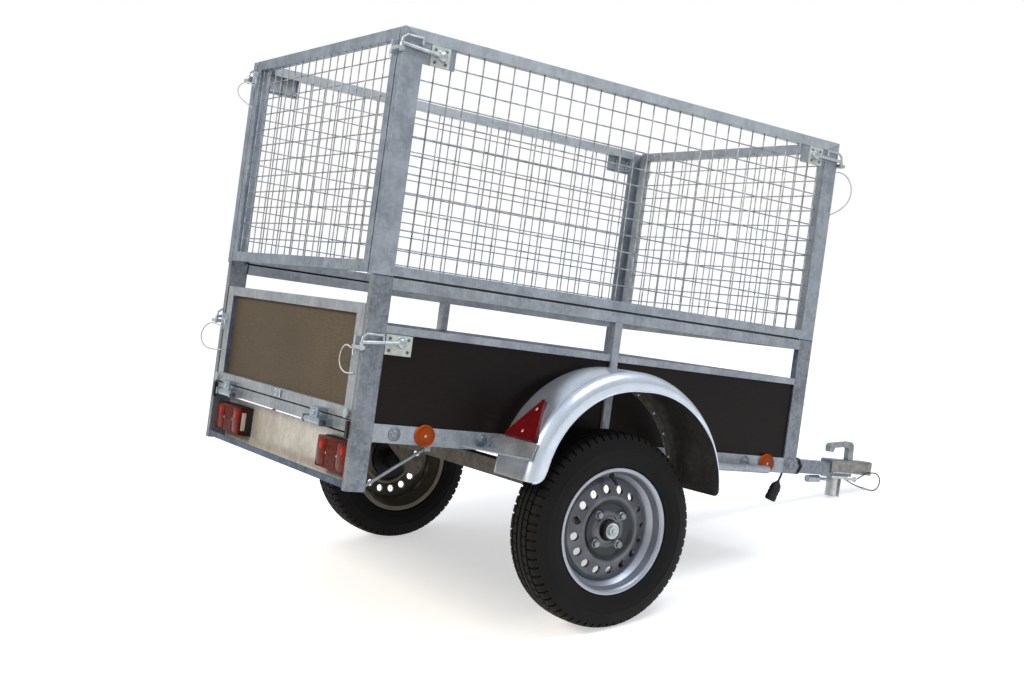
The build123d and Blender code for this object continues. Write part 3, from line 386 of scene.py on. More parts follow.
# ---------------- rims, bolts and hubs
# Pressed steel rims in silver lacquer, each held by four plated cone bolts; a rubber valve stands in the well.
# The hub drum is bare black casting, and a plated castle nut closes the spindle.
def lacquer(name, base, shade, roughness, metallic):
    """Silver wheel lacquer, cloudy, with painted shade in the recessed ring round the hub."""
    material, shader, place = finish_of(name, metallic, roughness)
    clouds = add(material, "ShaderNodeTexNoise", {"Vector": place, "Scale": 1000 / 55, "Detail": 4.0})
    flake = add(material, "ShaderNodeTexNoise", {"Vector": place, "Scale": 1000 / 0.9, "Detail": 1.0})
    # painted shade: the lacquer darkens in the recessed ring about 50 to 90 mm round the axle
    spoke = add(material, "ShaderNodeVectorMath", {0: place, 1: (axle_x, 0, AXLE.z / 1000)},
                operation="SUBTRACT")
    spoke = add(material, "ShaderNodeVectorMath", {0: spoke.outputs[0], 1: (1, 0, 1)}, operation="MULTIPLY")
    reach = add(material, "ShaderNodeVectorMath", {0: spoke.outputs[0]}, operation="LENGTH")
    inner = add(material, "ShaderNodeMapRange", {"Value": reach.outputs["Value"], "From Min": 0.046,
                                                 "From Max": 0.068})
    outer = add(material, "ShaderNodeMapRange", {"Value": reach.outputs["Value"], "From Min": 0.076,
                                                 "From Max": 0.092, "To Min": 1.0, "To Max": 0.0})
    ring = add(material, "ShaderNodeMath", {0: inner.outputs[0], 1: outer.outputs[0]}, operation="MULTIPLY")
    cloud_and_ring_shade = add(material, "ShaderNodeMath", {0: clouds.outputs["Fac"], 1: ring.outputs[0]},
                operation="SUBTRACT", use_clamp=True)
    colour = add(material, "ShaderNodeMix", {0: cloud_and_ring_shade.outputs[0], 6: linear(shade), 7: linear(base)},
                 data_type="RGBA")
    bump = add(material, "ShaderNodeBump", {"Height": flake.outputs["Fac"], "Strength": 0.08,
                                            "Distance": 0.0003})
    wire(material, shader, {"Base Color": colour.outputs[2], "Normal": bump.outputs[0]})
    return material


def bright_steel(name, pale, dark, roughness, metallic, scratch=0.6):
    """Zinc-plated or bright steel: a fine drawn grain and faint cloudy tarnish."""
    material, shader, place = finish_of(name, metallic, roughness)
    clouds = add(material, "ShaderNodeTexNoise", {"Vector": place, "Scale": 1000 / 18, "Detail": 5.0})
    grain = add(material, "ShaderNodeTexNoise", {"Vector": place, "Scale": 1000 / scratch, "Detail": 2.0})
    amount = add(material, "ShaderNodeMapRange", {"Value": clouds.outputs["Fac"], "From Min": 0.35,
                                                  "From Max": 0.68})
    colour = add(material, "ShaderNodeMix", {0: amount.outputs[0], 6: linear(dark), 7: linear(pale)},
                 data_type="RGBA")
    rough = add(material, "ShaderNodeMapRange", {"Value": clouds.outputs["Fac"], "To Min": roughness + 0.12,
                                                 "To Max": roughness - 0.06})
    bump = add(material, "ShaderNodeBump", {"Height": grain.outputs["Fac"], "Strength": 0.15,
                                            "Distance": 0.0003})
    wire(material, shader, {"Base Color": colour.outputs[2], "Roughness": rough.outputs[0],
                            "Normal": bump.outputs[0]})
    return material


silver_lacquer = lacquer("silver_lacquer", "#7c7f84", "#323437", roughness=0.32, metallic=0.6)
# painted highlight: a brighter copy of the rim lacquer for the outer well and flange
flange_highlight_lacquer = lacquer("flange_highlight_lacquer", "#b3b8c0", "#91969f", roughness=0.42, metallic=0.72)
inner_lacquer = lacquer("inner_lacquer", "#8b8573", "#5a5548", roughness=0.38, metallic=0.4)
black_casting = moulded_black("black_casting", "#1d1c1b", "#3a3632", roughness=0.45, grain=2.5)
dress(silver_lacquer, "rim_right", "rim_left")
dress(black_casting, "hub_right", "hub_left")
WELL_RADIUS, DISC_BACK = 148, 646       # painted highlight on the outer well and flange, brown dust behind the disc
for name in ("rim_right", "rim_left"):
    redress(name, flange_highlight_lacquer, lambda at, normal: (at - AXLE).xz.length > WELL_RADIUS)
    redress(name, inner_lacquer,
            lambda at, normal: normal.y * at.y < -0.2 * abs(at.y) or abs(at.y) < DISC_BACK)
bolt_steel = bright_steel("bolt_steel", "#979ea1", "#6f7578", roughness=0.4, metallic=0.7)
zinc_plate = bright_steel("zinc_plate", "#bfc5c7", "#a2a8ab", roughness=0.36, metallic=0.75)
black_pvc = moulded_black("black_pvc", "#151515", "#2b2a28", roughness=0.55, grain=1.2)
DISC_FACE = 671.0                       # from the trailer's middle plane
BOLT_CIRCLE = 57.5
BOLT_PAD = [(21, -0.3), (19, 0.5), (16.5, 2.2), (14, 3.2), (12.8, 3.3), (12.6, 2)]
HUB_PAD = [(28.6, 0), (29, 2.6), (31, 4), (35, 4), (39, 2.6), (44, -0.3)]
VALVE = [(0, 0), (8.5, 0), (8, 4), (5.6, 8), (5.2, 22), (4.2, 24), (4.6, 25), (4.6, 34), (3.6, 36), (0, 36)]
VALVE_FOOT, VALVE_LEAN = (-24, 684, 158), (0.12, 0.72, -0.66)          # from the axle, on the left wheel


def hexagon(bm, centre, axis, radius, height, finish=0):
    """A hexagon head or nut with a chamfered top."""
    turned(bm, [(0, 0), (radius, 0), (radius, height - 1.2), (radius - 1.92, height), (0, height)],
           centre, axis, 6, finish=finish)


for body, side in (("wheel_right", -1), ("wheel_left", 1)):
    outward = Vector((0, side, 0))
    hub_face = Vector((AXLE.x, side * DISC_FACE, AXLE.z))
    bolts, pads, valve = bmesh.new(), bmesh.new(), bmesh.new()
    for quarter in range(4):
        angle = math.radians(45 + 90 * quarter)
        at = hub_face + Vector((BOLT_CIRCLE * math.cos(angle), 0, BOLT_CIRCLE * math.sin(angle)))
        turned(bolts, [(0, 0), (12.5, 0), (12.5, 4), (10.5, 6), (0, 6)], at, outward, 20)
        hexagon(bolts, at + outward * 6, outward, 9.8, 9.0)
        turned(pads, BOLT_PAD, at, outward, 24)
    turned(pads, HUB_PAD, hub_face, outward, 48)
    hand = Vector((1, side, 1))
    turned(valve, VALVE, AXLE + Vector(VALVE_FOOT) * hand, Vector(VALVE_LEAN) * hand, 16)
    piece_from(bolts, body + "_bolts", body, [bolt_steel], crease=25.0)
    piece_from(pads, body + "_pads", body, [silver_lacquer], crease=60.0)
    piece_from(valve, body + "_valve", body, [black_pvc])

bm = bmesh.new()
nose = Vector((AXLE.x, -691.6, AXLE.z))
turned(bm, [(0, 0), (23, 0), (23, 2), (0, 2)], nose, (0, -1, 0), 28)
hexagon(bm, nose + Vector((0, -2, 0)), (0, -1, 0), 17.0, 9.0)
turned(bm, [(0, 0), (8, 0), (8, 3), (6.6, 4), (0, 4)], nose + Vector((0, -11, 0)), (0, -1, 0), 20)
mirrored(bm)
piece_from(bm, "spindle_nuts", "trailer", [zinc_plate], crease=25.0)


# ---------------- fenders
# Deep-drawn galvanised sheet with a smooth, almost polished zinc skin: the lip is rolled over a wire,
# and the inner skirt is riveted. The struts under it are the box's own dull zinc.
smooth_zinc = galvanised("smooth_zinc", "#d6dee7", "#c3ccd7", spangle=300.0, roughness=0.28, metallic=0.85,
                         flecks=0.0)
FENDER_CENTRE = Vector((770.0, 0.0, 395.0))
FENDER_SPAN = (1.0, 177.5)              # degrees, from straight ahead
LIP_RADIUS, CROWN_RADIUS, SKIRT_RADIUS = 290.0, 342.0, 298.0
OUTER_FACE, SKIRT_FACE = 740.0, 545.0   # distances from the trailer's middle plane
OUTER_BEND, SKIRT_BEND = 32.0, 30.0     # radii of the two bends over the wheel
FRONT_CORNER = 26.0                     # radius of the sheet's front corner, seen from ahead
FACE_MIDDLE = 300.0                     # radius half-way up the flat part of the outer face
CROWN_MIDDLE = 640.0                    # from the trailer's middle plane
SHEET = 2.5
NARROWING, LATENESS = 0.9, 1.2          # share of the face lost at the front end, and how late it goes


def bend(centre, radius, start):
    """Quarter turn of the pressed section in ten steps, as (radius, distance from the middle)."""
    turns = [math.radians(start + 9 * k) for k in range(11)]
    return [(centre[0] + radius * math.sin(a), centre[1] + radius * math.cos(a)) for a in turns]


def corner_at(angle, into):
    """Local axes at one end of the arch: along the arch into the fender, and outwards."""
    a = math.radians(angle)
    out = Vector((math.cos(a), 0, math.sin(a)))
    along = Vector((-math.sin(a), 0, math.cos(a))) * into
    return FENDER_CENTRE + out * LIP_RADIUS, along, out


def narrowed(place):
    """The place moved outwards from the wheel, more and more towards the fender's front end."""
    arm = Vector((place.x - FENDER_CENTRE.x, 0, place.z - FENDER_CENTRE.z))
    ahead = max(0.0, arm.x / arm.length)
    return place + arm.normalized() * max(0.0, CROWN_RADIUS - arm.length) * NARROWING * ahead ** LATENESS


over_face = (CROWN_RADIUS - OUTER_BEND, OUTER_FACE - OUTER_BEND)        # centres of the two bends
over_skirt = (CROWN_RADIUS - SKIRT_BEND, SKIRT_FACE + SKIRT_BEND)
outer_skin = ([(LIP_RADIUS, OUTER_FACE), (FACE_MIDDLE, OUTER_FACE)] + bend(over_face, OUTER_BEND, 0)
              + [(CROWN_RADIUS, CROWN_MIDDLE)] + bend(over_skirt, SKIRT_BEND, 90)
              + [(SKIRT_RADIUS, SKIRT_FACE)])
inner_skin = ([(SKIRT_RADIUS, SKIRT_FACE + SHEET)] + bend(over_skirt, SKIRT_BEND - SHEET, 90)[::-1]
              + [(CROWN_RADIUS - SHEET, CROWN_MIDDLE)] + bend(over_face, OUTER_BEND - SHEET, 0)[::-1]
              + [(FACE_MIDDLE, OUTER_FACE - SHEET), (LIP_RADIUS, OUTER_FACE - SHEET)])
CORNERS = ((FENDER_SPAN[0], 1, 24.0), (FENDER_SPAN[1], -1, 34.0))      # angle, way in, corner radius
bm = bmesh.new()
section = [bm.verts.new(FENDER_CENTRE + Vector((r, -y, 0))) for r, y in outer_skin + inner_skin]
ring = bm.faces.new(section)
bmesh.ops.rotate(bm, verts=section, cent=FENDER_CENTRE,
                 matrix=Matrix.Rotation(-math.radians(FENDER_SPAN[0]), 3, "Y"))
bmesh.ops.spin(bm, geom=[ring] + list(ring.edges) + section, cent=FENDER_CENTRE, axis=(0, -1, 0),
               angle=math.radians(FENDER_SPAN[1] - FENDER_SPAN[0]), steps=176)
for angle, into, radius in CORNERS:
    corner, along, out = corner_at(angle, into)
    for vert in bm.verts:
        spot = vert.co - corner
        inward, outward = spot.dot(along), spot.dot(out)
        if vert.co.y < 22 - OUTER_FACE and -1 < inward < radius and -1 < outward < radius:
            pull = Vector((inward - radius, outward - radius))
            if pull.length > radius:
                pull = pull.normalized() * radius
                vert.co += along * (pull.x + radius - inward) + out * (pull.y + radius - outward)
corner, along, out = corner_at(FENDER_SPAN[0], 1)
for vert in bm.verts:                   # the outer face narrows towards the front, to a rounded corner
    if vert.co.y < 40 - OUTER_FACE:
        vert.co = narrowed(vert.co)
    inboard, inward = vert.co.y + OUTER_FACE, (vert.co - corner).dot(along)
    if inboard < FRONT_CORNER and vert.co.x > FENDER_CENTRE.x:
        short = FRONT_CORNER - max(0.0, inboard)
        vert.co += along * max(0.0, FRONT_CORNER - math.sqrt(FRONT_CORNER ** 2 - short ** 2) - inward)
bmesh.ops.recalc_face_normals(bm, faces=bm.faces)
for face in bm.faces:                   # the underside is painted dark as shade; the skirt's wheel side is dusty
    spot = face.calc_center_median() - FENDER_CENTRE
    middle = Vector((spot.x, 0, spot.z)).normalized() * FACE_MIDDLE - Vector((0, CROWN_MIDDLE, 0))
    if face.normal.dot(spot - middle) < 0:
        on_skirt = spot.y > -SKIRT_FACE - 5 and spot.xz.length < SKIRT_RADIUS + 20
        face.material_index = 2 if on_skirt else 1
mirrored(bm)
# painted shade: dark zinc for the fender's underside
underside_shade_zinc = galvanised("underside_shade_zinc", "#45433f", "#2a2825", spangle=14.0, roughness=0.6, metallic=0.3)
dusty_zinc = galvanised("dusty_zinc", "#857f70", "#5b574c", spangle=14.0, roughness=0.55, metallic=0.35)
piece_from(bm, "fender_skins", "trailer", [smooth_zinc, underside_shade_zinc, dusty_zinc], ["fenders"],
           crease=40.0)

BEAD_START = 30.0                       # degrees above the front end
corner, along, out = corner_at(*CORNERS[1][:2])
radius = CORNERS[1][2]
rear_turn = [corner + out * (radius + 3)] + [
    corner + along * (radius - radius * math.cos(a)) + out * (radius - radius * math.sin(a))
    for a in (math.radians(15 * k) for k in range(7))]
sweep = [math.radians(BEAD_START + (FENDER_SPAN[1] - 7 - BEAD_START) * k / 60) for k in range(61)]
rolled = ([FENDER_CENTRE + Vector((LIP_RADIUS * math.cos(a), 0, LIP_RADIUS * math.sin(a))) for a in sweep]
          + rear_turn[::-1])


def rolled_wire(bm, points, radius, rise=1):
    """Adds a round bead along the points. It has its full size after as many points as rise says."""
    curve = bpy.data.curves.new("bead", "CURVE")
    curve.dimensions = "3D"
    spline = curve.splines.new("POLY")
    spline.points.add(len(points) - 1)
    for index, (point, place) in enumerate(zip(spline.points, points)):
        point.co = (*place, 1)
        point.radius = min(1.0, (index + 1) / rise)
    curve.bevel_depth = radius
    curve.bevel_resolution = 3
    curve.use_fill_caps = True
    holder = bpy.data.objects.new("bead", curve)
    bm.from_mesh(bpy.data.meshes.new_from_object(holder))
    bpy.data.objects.remove(holder)


bm = bmesh.new()
rolled_wire(bm, [narrowed(place) + Vector((0, 2.4 - OUTER_FACE, 0)) for place in rolled], 3.0, rise=9)
mirrored(bm)
piece_from(bm, "fender_lips", "trailer", [smooth_zinc], crease=60.0)
RIVET_HEAD = [(0, 0), (5.2, 0), (4.8, 1.4), (3.2, 2.6), (0, 3.1)]
RIVET_RADIUS = 308                      # of the arc they sit on, on the skirt's wheel side
bm = bmesh.new()
for angle in (18, 32, 46, 62, 78, 94, 110, 126, 142, 158):
    a = math.radians(angle)
    out = Vector((math.cos(a), 0, math.sin(a)))
    at = FENDER_CENTRE + out * RIVET_RADIUS - Vector((0, SKIRT_FACE + SHEET - 0.1, 0))
    turned(bm, RIVET_HEAD, at, (0, -1, 0), 12)
mirrored(bm)
piece_from(bm, "fender_rivets", "trailer", [zinc_plate])


# ---------------- reflectors
# Moulded acrylic reflectors: amber discs screwed to the sills and red triangles on the fenders' rear.
# Behind their clear face lies a honeycomb of prisms about 3 mm across that sparkles.
def prism_plastic(name, bright, deep, specular, cell=3.2, roughness=0.16):
    """Moulded acrylic over prisms of the cell's size in millimetres, deeper and brighter in soft patches."""
    material, shader, place = finish_of(name, 0.0, roughness, 1.49)
    cells = add(material, "ShaderNodeTexVoronoi", {"Vector": place, "Scale": 1000 / cell, "Randomness": 0.15},
                distance="MANHATTAN")
    depth = add(material, "ShaderNodeTexNoise", {"Vector": place, "Scale": 1000 / 30, "Detail": 3.0})
    glint = add(material, "ShaderNodeMath", {0: cells.outputs["Distance"], 1: depth.outputs["Fac"]},
                operation="MULTIPLY")
    spread = add(material, "ShaderNodeMapRange", {"Value": glint.outputs[0], "From Min": 0.05,
                                                  "From Max": 0.4})
    colour = add(material, "ShaderNodeMix", {0: spread.outputs[0], 6: linear(deep), 7: linear(bright)},
                 data_type="RGBA")
    bump = add(material, "ShaderNodeBump", {"Height": cells.outputs["Distance"], "Strength": 0.12,
                                            "Distance": 0.0005})
    wire(material, shader, {"Base Color": colour.outputs[2], "Normal": bump.outputs[0]})
    shader.inputs["Specular IOR Level"].default_value = specular
    return material


amber_prism = prism_plastic("amber_prism", "#bb4f03", "#863001", specular=0.12)
red_prism = prism_plastic("red_prism", "#5e0f13", "#32070a", specular=0.08)
AMBER_DISC = [(0, 0), (30.5, 0), (30.5, 4), (29.6, 6.6), (27.4, 7.6), (26, 6.2), (24, 6.6), (6, 8), (5, 6),
              (0, 6)]
SCREW_HEAD = [(0, 0), (4.4, 0), (4.2, 2), (2.6, 3), (0, 3.2)]
bm = bmesh.new()
for x in (220.0, 1496.0):
    at = Vector((x, SIDE_FACE - 0.2, 490.0))
    turned(bm, AMBER_DISC, at, (0, -1, 0), 48)
    turned(bm, SCREW_HEAD, at + Vector((0, -5.8, 0)), (0, -1, 0), 14, finish=1)
mirrored(bm)
piece_from(bm, "amber_discs", "trailer", [amber_prism, zinc_plate], ["side_reflectors"])
dress(red_prism, "triangle_reflectors")
TRIANGLE_LIFT = 7.1                     # of its face above the fender's crown
TRIANGLE_FACING = math.radians(148.5)   # up from straight ahead
facing = Vector((math.cos(TRIANGLE_FACING), 0, math.sin(TRIANGLE_FACING)))
bm = bmesh.new()
for x, z in ((493, 596), (458, 534)):
    out = (Vector((x, 0, z)) - FENDER_CENTRE).normalized()
    reach = (CROWN_RADIUS + TRIANGLE_LIFT) / out.dot(facing)
    at = FENDER_CENTRE + out * reach + Vector((0, -648.5, 0))
    turned(bm, [(0, -3), (5, -3), (5, 0.6), (3.4, 1.8), (0, 2)], at, facing, 16)
mirrored(bm)
piece_from(bm, "triangle_screws", "trailer", [zinc_plate])


# ---------------- light board and tail lamps
# A bare sheet-steel board, paler than the frame, carries both lamps; its folded lip below is painted dark
# blue, as reflected sky and shade.
# Each lamp is a red acrylic lens on a black base: a fluted middle between two smooth fields over the bulbs,
# and a clear window on its inner end for the number plate.
board_zinc = galvanised("board_zinc", "#dad7cf", "#b5b0a6", spangle=14.0, roughness=0.34, metallic=0.45)
dress(board_zinc, "light_board")
LIP_TOP, LIP_FRONT = 353, 40            # of the board's folded lip
# painted reflection and shade: the folded lip takes a dark blue zinc
lip_reflection_zinc = galvanised("lip_reflection_zinc", "#5d6c82", "#333f51", spangle=12.0, metallic=0.8)
redress("light_board", lip_reflection_zinc, lambda at, normal: at.z < LIP_TOP and at.x < LIP_FRONT)
lamp_red = prism_plastic("lamp_red", "#702610", "#3f0d06", cell=5.0, roughness=0.12, specular=0.07)
lamp_prism = prism_plastic("lamp_prism", "#651c0c", "#300805", cell=4.0, roughness=0.2, specular=0.07)
# painted highlight: a brighter red for one spot on each smooth field of the lens
lamp_glint = prism_plastic("lamp_glint", "#c0170e", "#860e08", cell=3.0, roughness=0.12, specular=0.07)


def pale_plastic(name, tint, shade):
    """Smooth pale plastic, moulded or drawn over a cord, faintly cloudy."""
    material, shader, place = finish_of(name, 0.0, 0.4, 1.46)
    clouds = add(material, "ShaderNodeTexNoise", {"Vector": place, "Scale": 1000 / 12, "Detail": 3.0})
    colour = add(material, "ShaderNodeMix", {0: clouds.outputs["Fac"], 6: linear(shade), 7: linear(tint)},
                 data_type="RGBA")
    ripple = add(material, "ShaderNodeBump", {"Height": clouds.outputs["Fac"], "Strength": 0.2,
                                              "Distance": 0.0004})
    wire(material, shader, {"Base Color": colour.outputs[2], "Normal": ripple.outputs[0]})
    return material


clear_window = pale_plastic("clear_window", "#d9d3cc", "#b5a9a2")


def slab(bm, low, high, finish, bevel):
    """A rectangular slab between two corners, its edges rounded."""
    low, high = Vector(low), Vector(high)
    place = Matrix.Translation((low + high) / 2) @ Matrix.Diagonal((*(high - low), 1))
    verts = bmesh.ops.create_cube(bm, size=1.0, matrix=place)["verts"]
    edges = list({edge for vert in verts for edge in vert.link_edges})
    for face in {face for vert in verts for face in vert.link_faces}:
        face.material_index = finish
    made = bmesh.ops.bevel(bm, geom=edges, offset=bevel, segments=2, profile=0.5, affect="EDGES", material=-1)
    for face in made["faces"]:
        face.material_index = finish


BASE, SMOOTH, FLUTED, WINDOW, SCREW, BULB_GLINT = range(6)        # the finishes, in the order of piece_from below
FIELD_FACE, FLUTE_FACE, FACE_ROOT = 15.8, 16.4, 19          # x of the lens's rearmost faces, and of their foot
FACE_FOOT, FACE_HEAD = 368, 443         # z limits of those faces
FLUTE_PITCH, FLUTE_WIDTH, FIRST_FLUTE = 7.0, 6.6, -414
bm = bmesh.new()
slab(bm, (40, -486, 361), (60.4, -286, 450), BASE, 2.0)
slab(bm, (17.4, -484.5, 362.5), (41, -287.5, 448.5), FLUTED, 4.0)
slab(bm, (24, -288.5, 378), (38, -286.4, 434), WINDOW, 0.8)
for right, left in ((-479, -420), (-346, -293)):
    slab(bm, (FIELD_FACE, right, FACE_FOOT), (FACE_ROOT, left, FACE_HEAD), SMOOTH, 1.4)
for flute in range(9):
    right = FIRST_FLUTE + flute * FLUTE_PITCH
    slab(bm, (FLUTE_FACE, right, FACE_FOOT), (FACE_ROOT, right + FLUTE_WIDTH, FACE_HEAD), FLUTED, 1.0)
for y in (-449, -320):                  # painted highlight: a brighter red spot on the lens over each bulb
    turned(bm, [(11, -0.4), (11, 0.5), (8, 1.2), (0, 1.6)], (FIELD_FACE, y, 424), (-1, 0, 0), 24, finish=BULB_GLINT)
for y in (-417.5, -349.5):
    turned(bm, [(0, 0), (3.4, 0), (3.4, 1.6), (0, 2)], (18.6, y, 405.5), (-1, 0, 0), 12, finish=SCREW)
mirrored(bm)
piece_from(bm, "lamp_lenses", "trailer",
           [black_pvc, lamp_red, lamp_prism, clear_window, zinc_plate, lamp_glint],
           ["tail_lamps"])


# ---------------- cage frames
# Angle and flat bar frames of the mesh cage, galvanised like the box; their rear faces are painted bluer, as
# sky and shade.
# Black strips in the joint between cage and box are painted shade. The gates' pins, keepers and clips are
# plated.
cage_zinc = galvanised("cage_zinc", "#aab1b9", "#878f98", spangle=11.0)
# painted reflection and shade: a darker, bluer copy of the cage zinc for rear-facing faces
sky_and_shade_zinc = galvanised("sky_and_shade_zinc", "#98a3b0", "#747f8d", spangle=11.0, metallic=0.7)
blue_zinc = bright_steel("blue_zinc", "#cfdde8", "#aebfcc", roughness=0.38, metallic=0.35)
black_rubber = moulded_black("black_rubber", "#191817", "#35302b", roughness=0.5, grain=2.0)
dress(cage_zinc, "cage_sides", "front_gate_frame")
dress(sky_and_shade_zinc, "rear_gate_frame")
dress(blue_zinc, "gate_pins")
dress(black_rubber, "rear_stops")
top_zinc = galvanised("top_zinc", "#bfc6cb", "#a3abb1")
redress("cage_sides", top_zinc, lambda at, normal: at.z > 1515)               # top rails
redress("cage_sides", sky_and_shade_zinc, lambda at, normal: normal.x < -0.9)          # painted sky reflection and shade on the rear faces, as on the rear gate
redress("rear_gate_frame", blue_zinc, lambda at, normal: at.x < -0.5)         # keepers and their clips
redress("front_gate_frame", blue_zinc, lambda at, normal: at.x > 1630.5)
bm = bmesh.new()                        # painted shade: dark strips in the gap between cage and box
slab(bm, (62, -519.5, 900), (1570, -500, 906), 0, 0.8)
for start, end in ((0.6, 63), (1569, 1629.4)):
    slab(bm, (start, -521.5, 902.2), (end, -520.6, 904.4), 0, 0.2)
mirrored(bm)
piece_from(bm, "cage_gap_shade", "trailer", [black_rubber])


# ---------------- welded mesh
# Bright galvanised 4 mm wires, welded at every crossing on a 50 mm square pitch: the uprights lie on the
# outside of the level wires. Each wire runs into the frame it is welded to.
mesh_zinc = bright_steel("mesh_zinc", "#b3b7ba", "#7c8186", roughness=0.42, metallic=0.65, scratch=3.0)
MESH_WIRE, MESH_PITCH = 4.0, 50.0
WIRE_LIFT = 1.6                         # of each wire from the sheet's middle, so that they bite at the welds


def bar(bm, start, end, radius):
    """A straight round bar between two points."""
    start, end = Vector(start), Vector(end)
    run = end - start
    place = Matrix.Translation((start + end) / 2) @ run.to_track_quat("Z", "Y").to_matrix().to_4x4()
    bmesh.ops.create_cone(bm, cap_ends=True, segments=8, radius1=radius, radius2=radius, depth=run.length,
                          matrix=place)


def lay_wires(bm, point, u, v, first_u, first_v):
    """Wires of one sheet: point(u, v, lift) gives the place, u and v are the sheet's limits."""
    across = first_u
    while across < u[1]:
        bar(bm, point(across, v[0], WIRE_LIFT), point(across, v[1], WIRE_LIFT), MESH_WIRE / 2)
        across += MESH_PITCH
    up = first_v
    while up < v[1]:
        bar(bm, point(u[0], up, -WIRE_LIFT), point(u[1], up, -WIRE_LIFT), MESH_WIRE / 2)
        up += MESH_PITCH


bm = bmesh.new()
lay_wires(bm, lambda u, v, lift: (u, -510 - lift, v), (58, 1572), (929, 1531), 105.0, 979.0)
mirrored(bm)
piece_from(bm, "side_wires", "trailer", [mesh_zinc], ["side_meshes"])
for gate, middle, outward in (("rear_gate", 12.5, -1), ("front_gate", 1617.5, 1)):
    bm = bmesh.new()
    lay_wires(bm, lambda u, v, lift: (middle + outward * lift, u, v), (-461, 461), (934, 1531), -450.0, 983.0)
    piece_from(bm, gate + "_wires", gate, [mesh_zinc], [gate + "_mesh"])


# ---------------- tailgate
# A galvanised frame round the board, its inner faces painted a deeper blue as shade, on two hinges. Each hinge
# is a pressed
# wing: an eye at each end of the barrel, a slotted hook and one domed bolt. The nuts on its pin are dark
# steel.
dress(cage_zinc, "tailgate_frame")
redress("tailgate_frame", blue_zinc, lambda at, normal: at.x < 5.5)           # keepers and their clips
# painted shade: the frame's inner faces round the board take the darker blue zinc
redress("tailgate_frame", painted_shade_zinc, lambda at, normal: abs(at.y) < 462 and abs(normal.y) > 0.9 and at.x < 34)
dress(zinc_plate, "tailgate_buffers")
hinge_zinc = galvanised("hinge_zinc", "#a9b6c2", "#8492a0", spangle=7.0, roughness=0.34, metallic=0.7)
dress(hinge_zinc, "hinge_lugs", "tailgate_hinge_leaves")
HINGE_ASIDE, BARREL_HALF = 330, 58.2    # of each hinge from the middle plane, and half of its barrel
bm = bmesh.new()
for y in (-HINGE_ASIDE, HINGE_ASIDE):
    for side in (-1, 1):
        hexagon(bm, (-22, y + side * BARREL_HALF, 490), (0, side, 0), 9.0, 6.0, finish=1)
    turned(bm, [(0, 0), (9, 0), (8.4, 3), (5, 5.4), (0, 6)], (-25, y, 513), (-1, 0, 0), 18)
FOOT_STUD = [(10, -0.5), (10, 7), (8, 9.5), (4, 10.6), (0, 11)]         # in the frame's foot, near its middle
turned(bm, FOOT_STUD, (6, -8, 530), (-1, 0, 0), 22)
# the nuts on the hinge pins are drawn in dark steel
dark_steel = bright_steel("dark_steel", "#5b5f62", "#34373a", roughness=0.45, metallic=0.6)
piece_from(bm, "hinge_nuts", "tailgate", [hinge_zinc, dark_steel])


# ---------------- latch plates
# Each side latch sits on a plated backing sheet with four dull rivets, and a pressed dome holds
# its swinging rod. The plates are brighter than the frame they are riveted to.
LATCH_PLATES = [            # x and z limits of the plate, its face, and the boss (x, z)
    ((66, 146), (697, 752), 519.0, (110, 731)),
    ((84, 142), (1470, 1526), 523.0, (116, 1499)),
    ((1499, 1557), (1470, 1526), 523.0, (1522, 1500)),
]
DOME_TOP = 537                          # distance from the middle plane, like the plates' faces
dress(zinc_plate, "cage_latches", "tailgate_latches")
dull_rivets = bright_steel("dull_rivets", "#7c8386", "#565b5e", roughness=0.42, metallic=0.7)
bm = bmesh.new()
for x, z, face, boss in LATCH_PLATES:
    for rx in (x[0] + 12, x[1] - 12):
        for rz in (z[0] + 11, z[1] - 11):
            turned(bm, [(0, -0.4), (4.8, -0.4), (4.4, 1.2), (2.8, 2.2), (0, 2.6)], (rx, -face, rz), (0, -1, 0),
                   14, finish=1)
    height = DOME_TOP - face
    turned(bm, [(17, -0.4), (17, 1.2), (15.4, 2.4), (15, height * 0.45), (12.6, height * 0.78),
                (7.6, height * 0.96), (3.4, height), (3, height - 1.4), (0, height - 1.4)],
           (boss[0], -face, boss[1]), (0, -1, 0), 32)
mirrored(bm)
piece_from(bm, "latch_domes", "trailer", [zinc_plate, dull_rivets])
plate_zinc = bright_steel("plate_zinc", "#dde4dd", "#c2cac2", roughness=0.42, metallic=0.4)
for name in ("cage_latches", "tailgate_latches"):
    redress(name, plate_zinc, lambda at, normal: abs(at.y) < 523.6 and any(
        x[0] - 1 < at.x < x[1] + 1 and z[0] - 1 < at.z < z[1] + 1 for x, z, _, _ in LATCH_PLATES))


# ---------------- latch lanyards
# White plastic-coated cords tie each spring clip to its gate, so that the clip is never lost.
# Each leaves the clip, swings out in a loop and goes back to the stile below.
def free_cord(name, route, diameter, body, finish, stands_for):
    """A smooth cord along its route, as one open NURBS spline."""
    curve = bpy.data.curves.new(name, "CURVE")
    curve.dimensions = "3D"
    spline = curve.splines.new("NURBS")
    spline.points.add(len(route) - 1)
    for point, place in zip(spline.points, route):
        point.co = (*(STANCE @ Vector(place)), 1)
    spline.order_u = 3
    spline.use_endpoint_u = True
    spline.resolution_u = 12
    curve.bevel_depth = diameter / 2000
    curve.bevel_resolution = 5
    curve.use_fill_caps = True
    curve.materials.append(finish)
    piece = bpy.data.objects.new(name, curve)
    bpy.context.scene.collection.objects.link(piece)
    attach(piece, body)
    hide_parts(stands_for)
    return piece


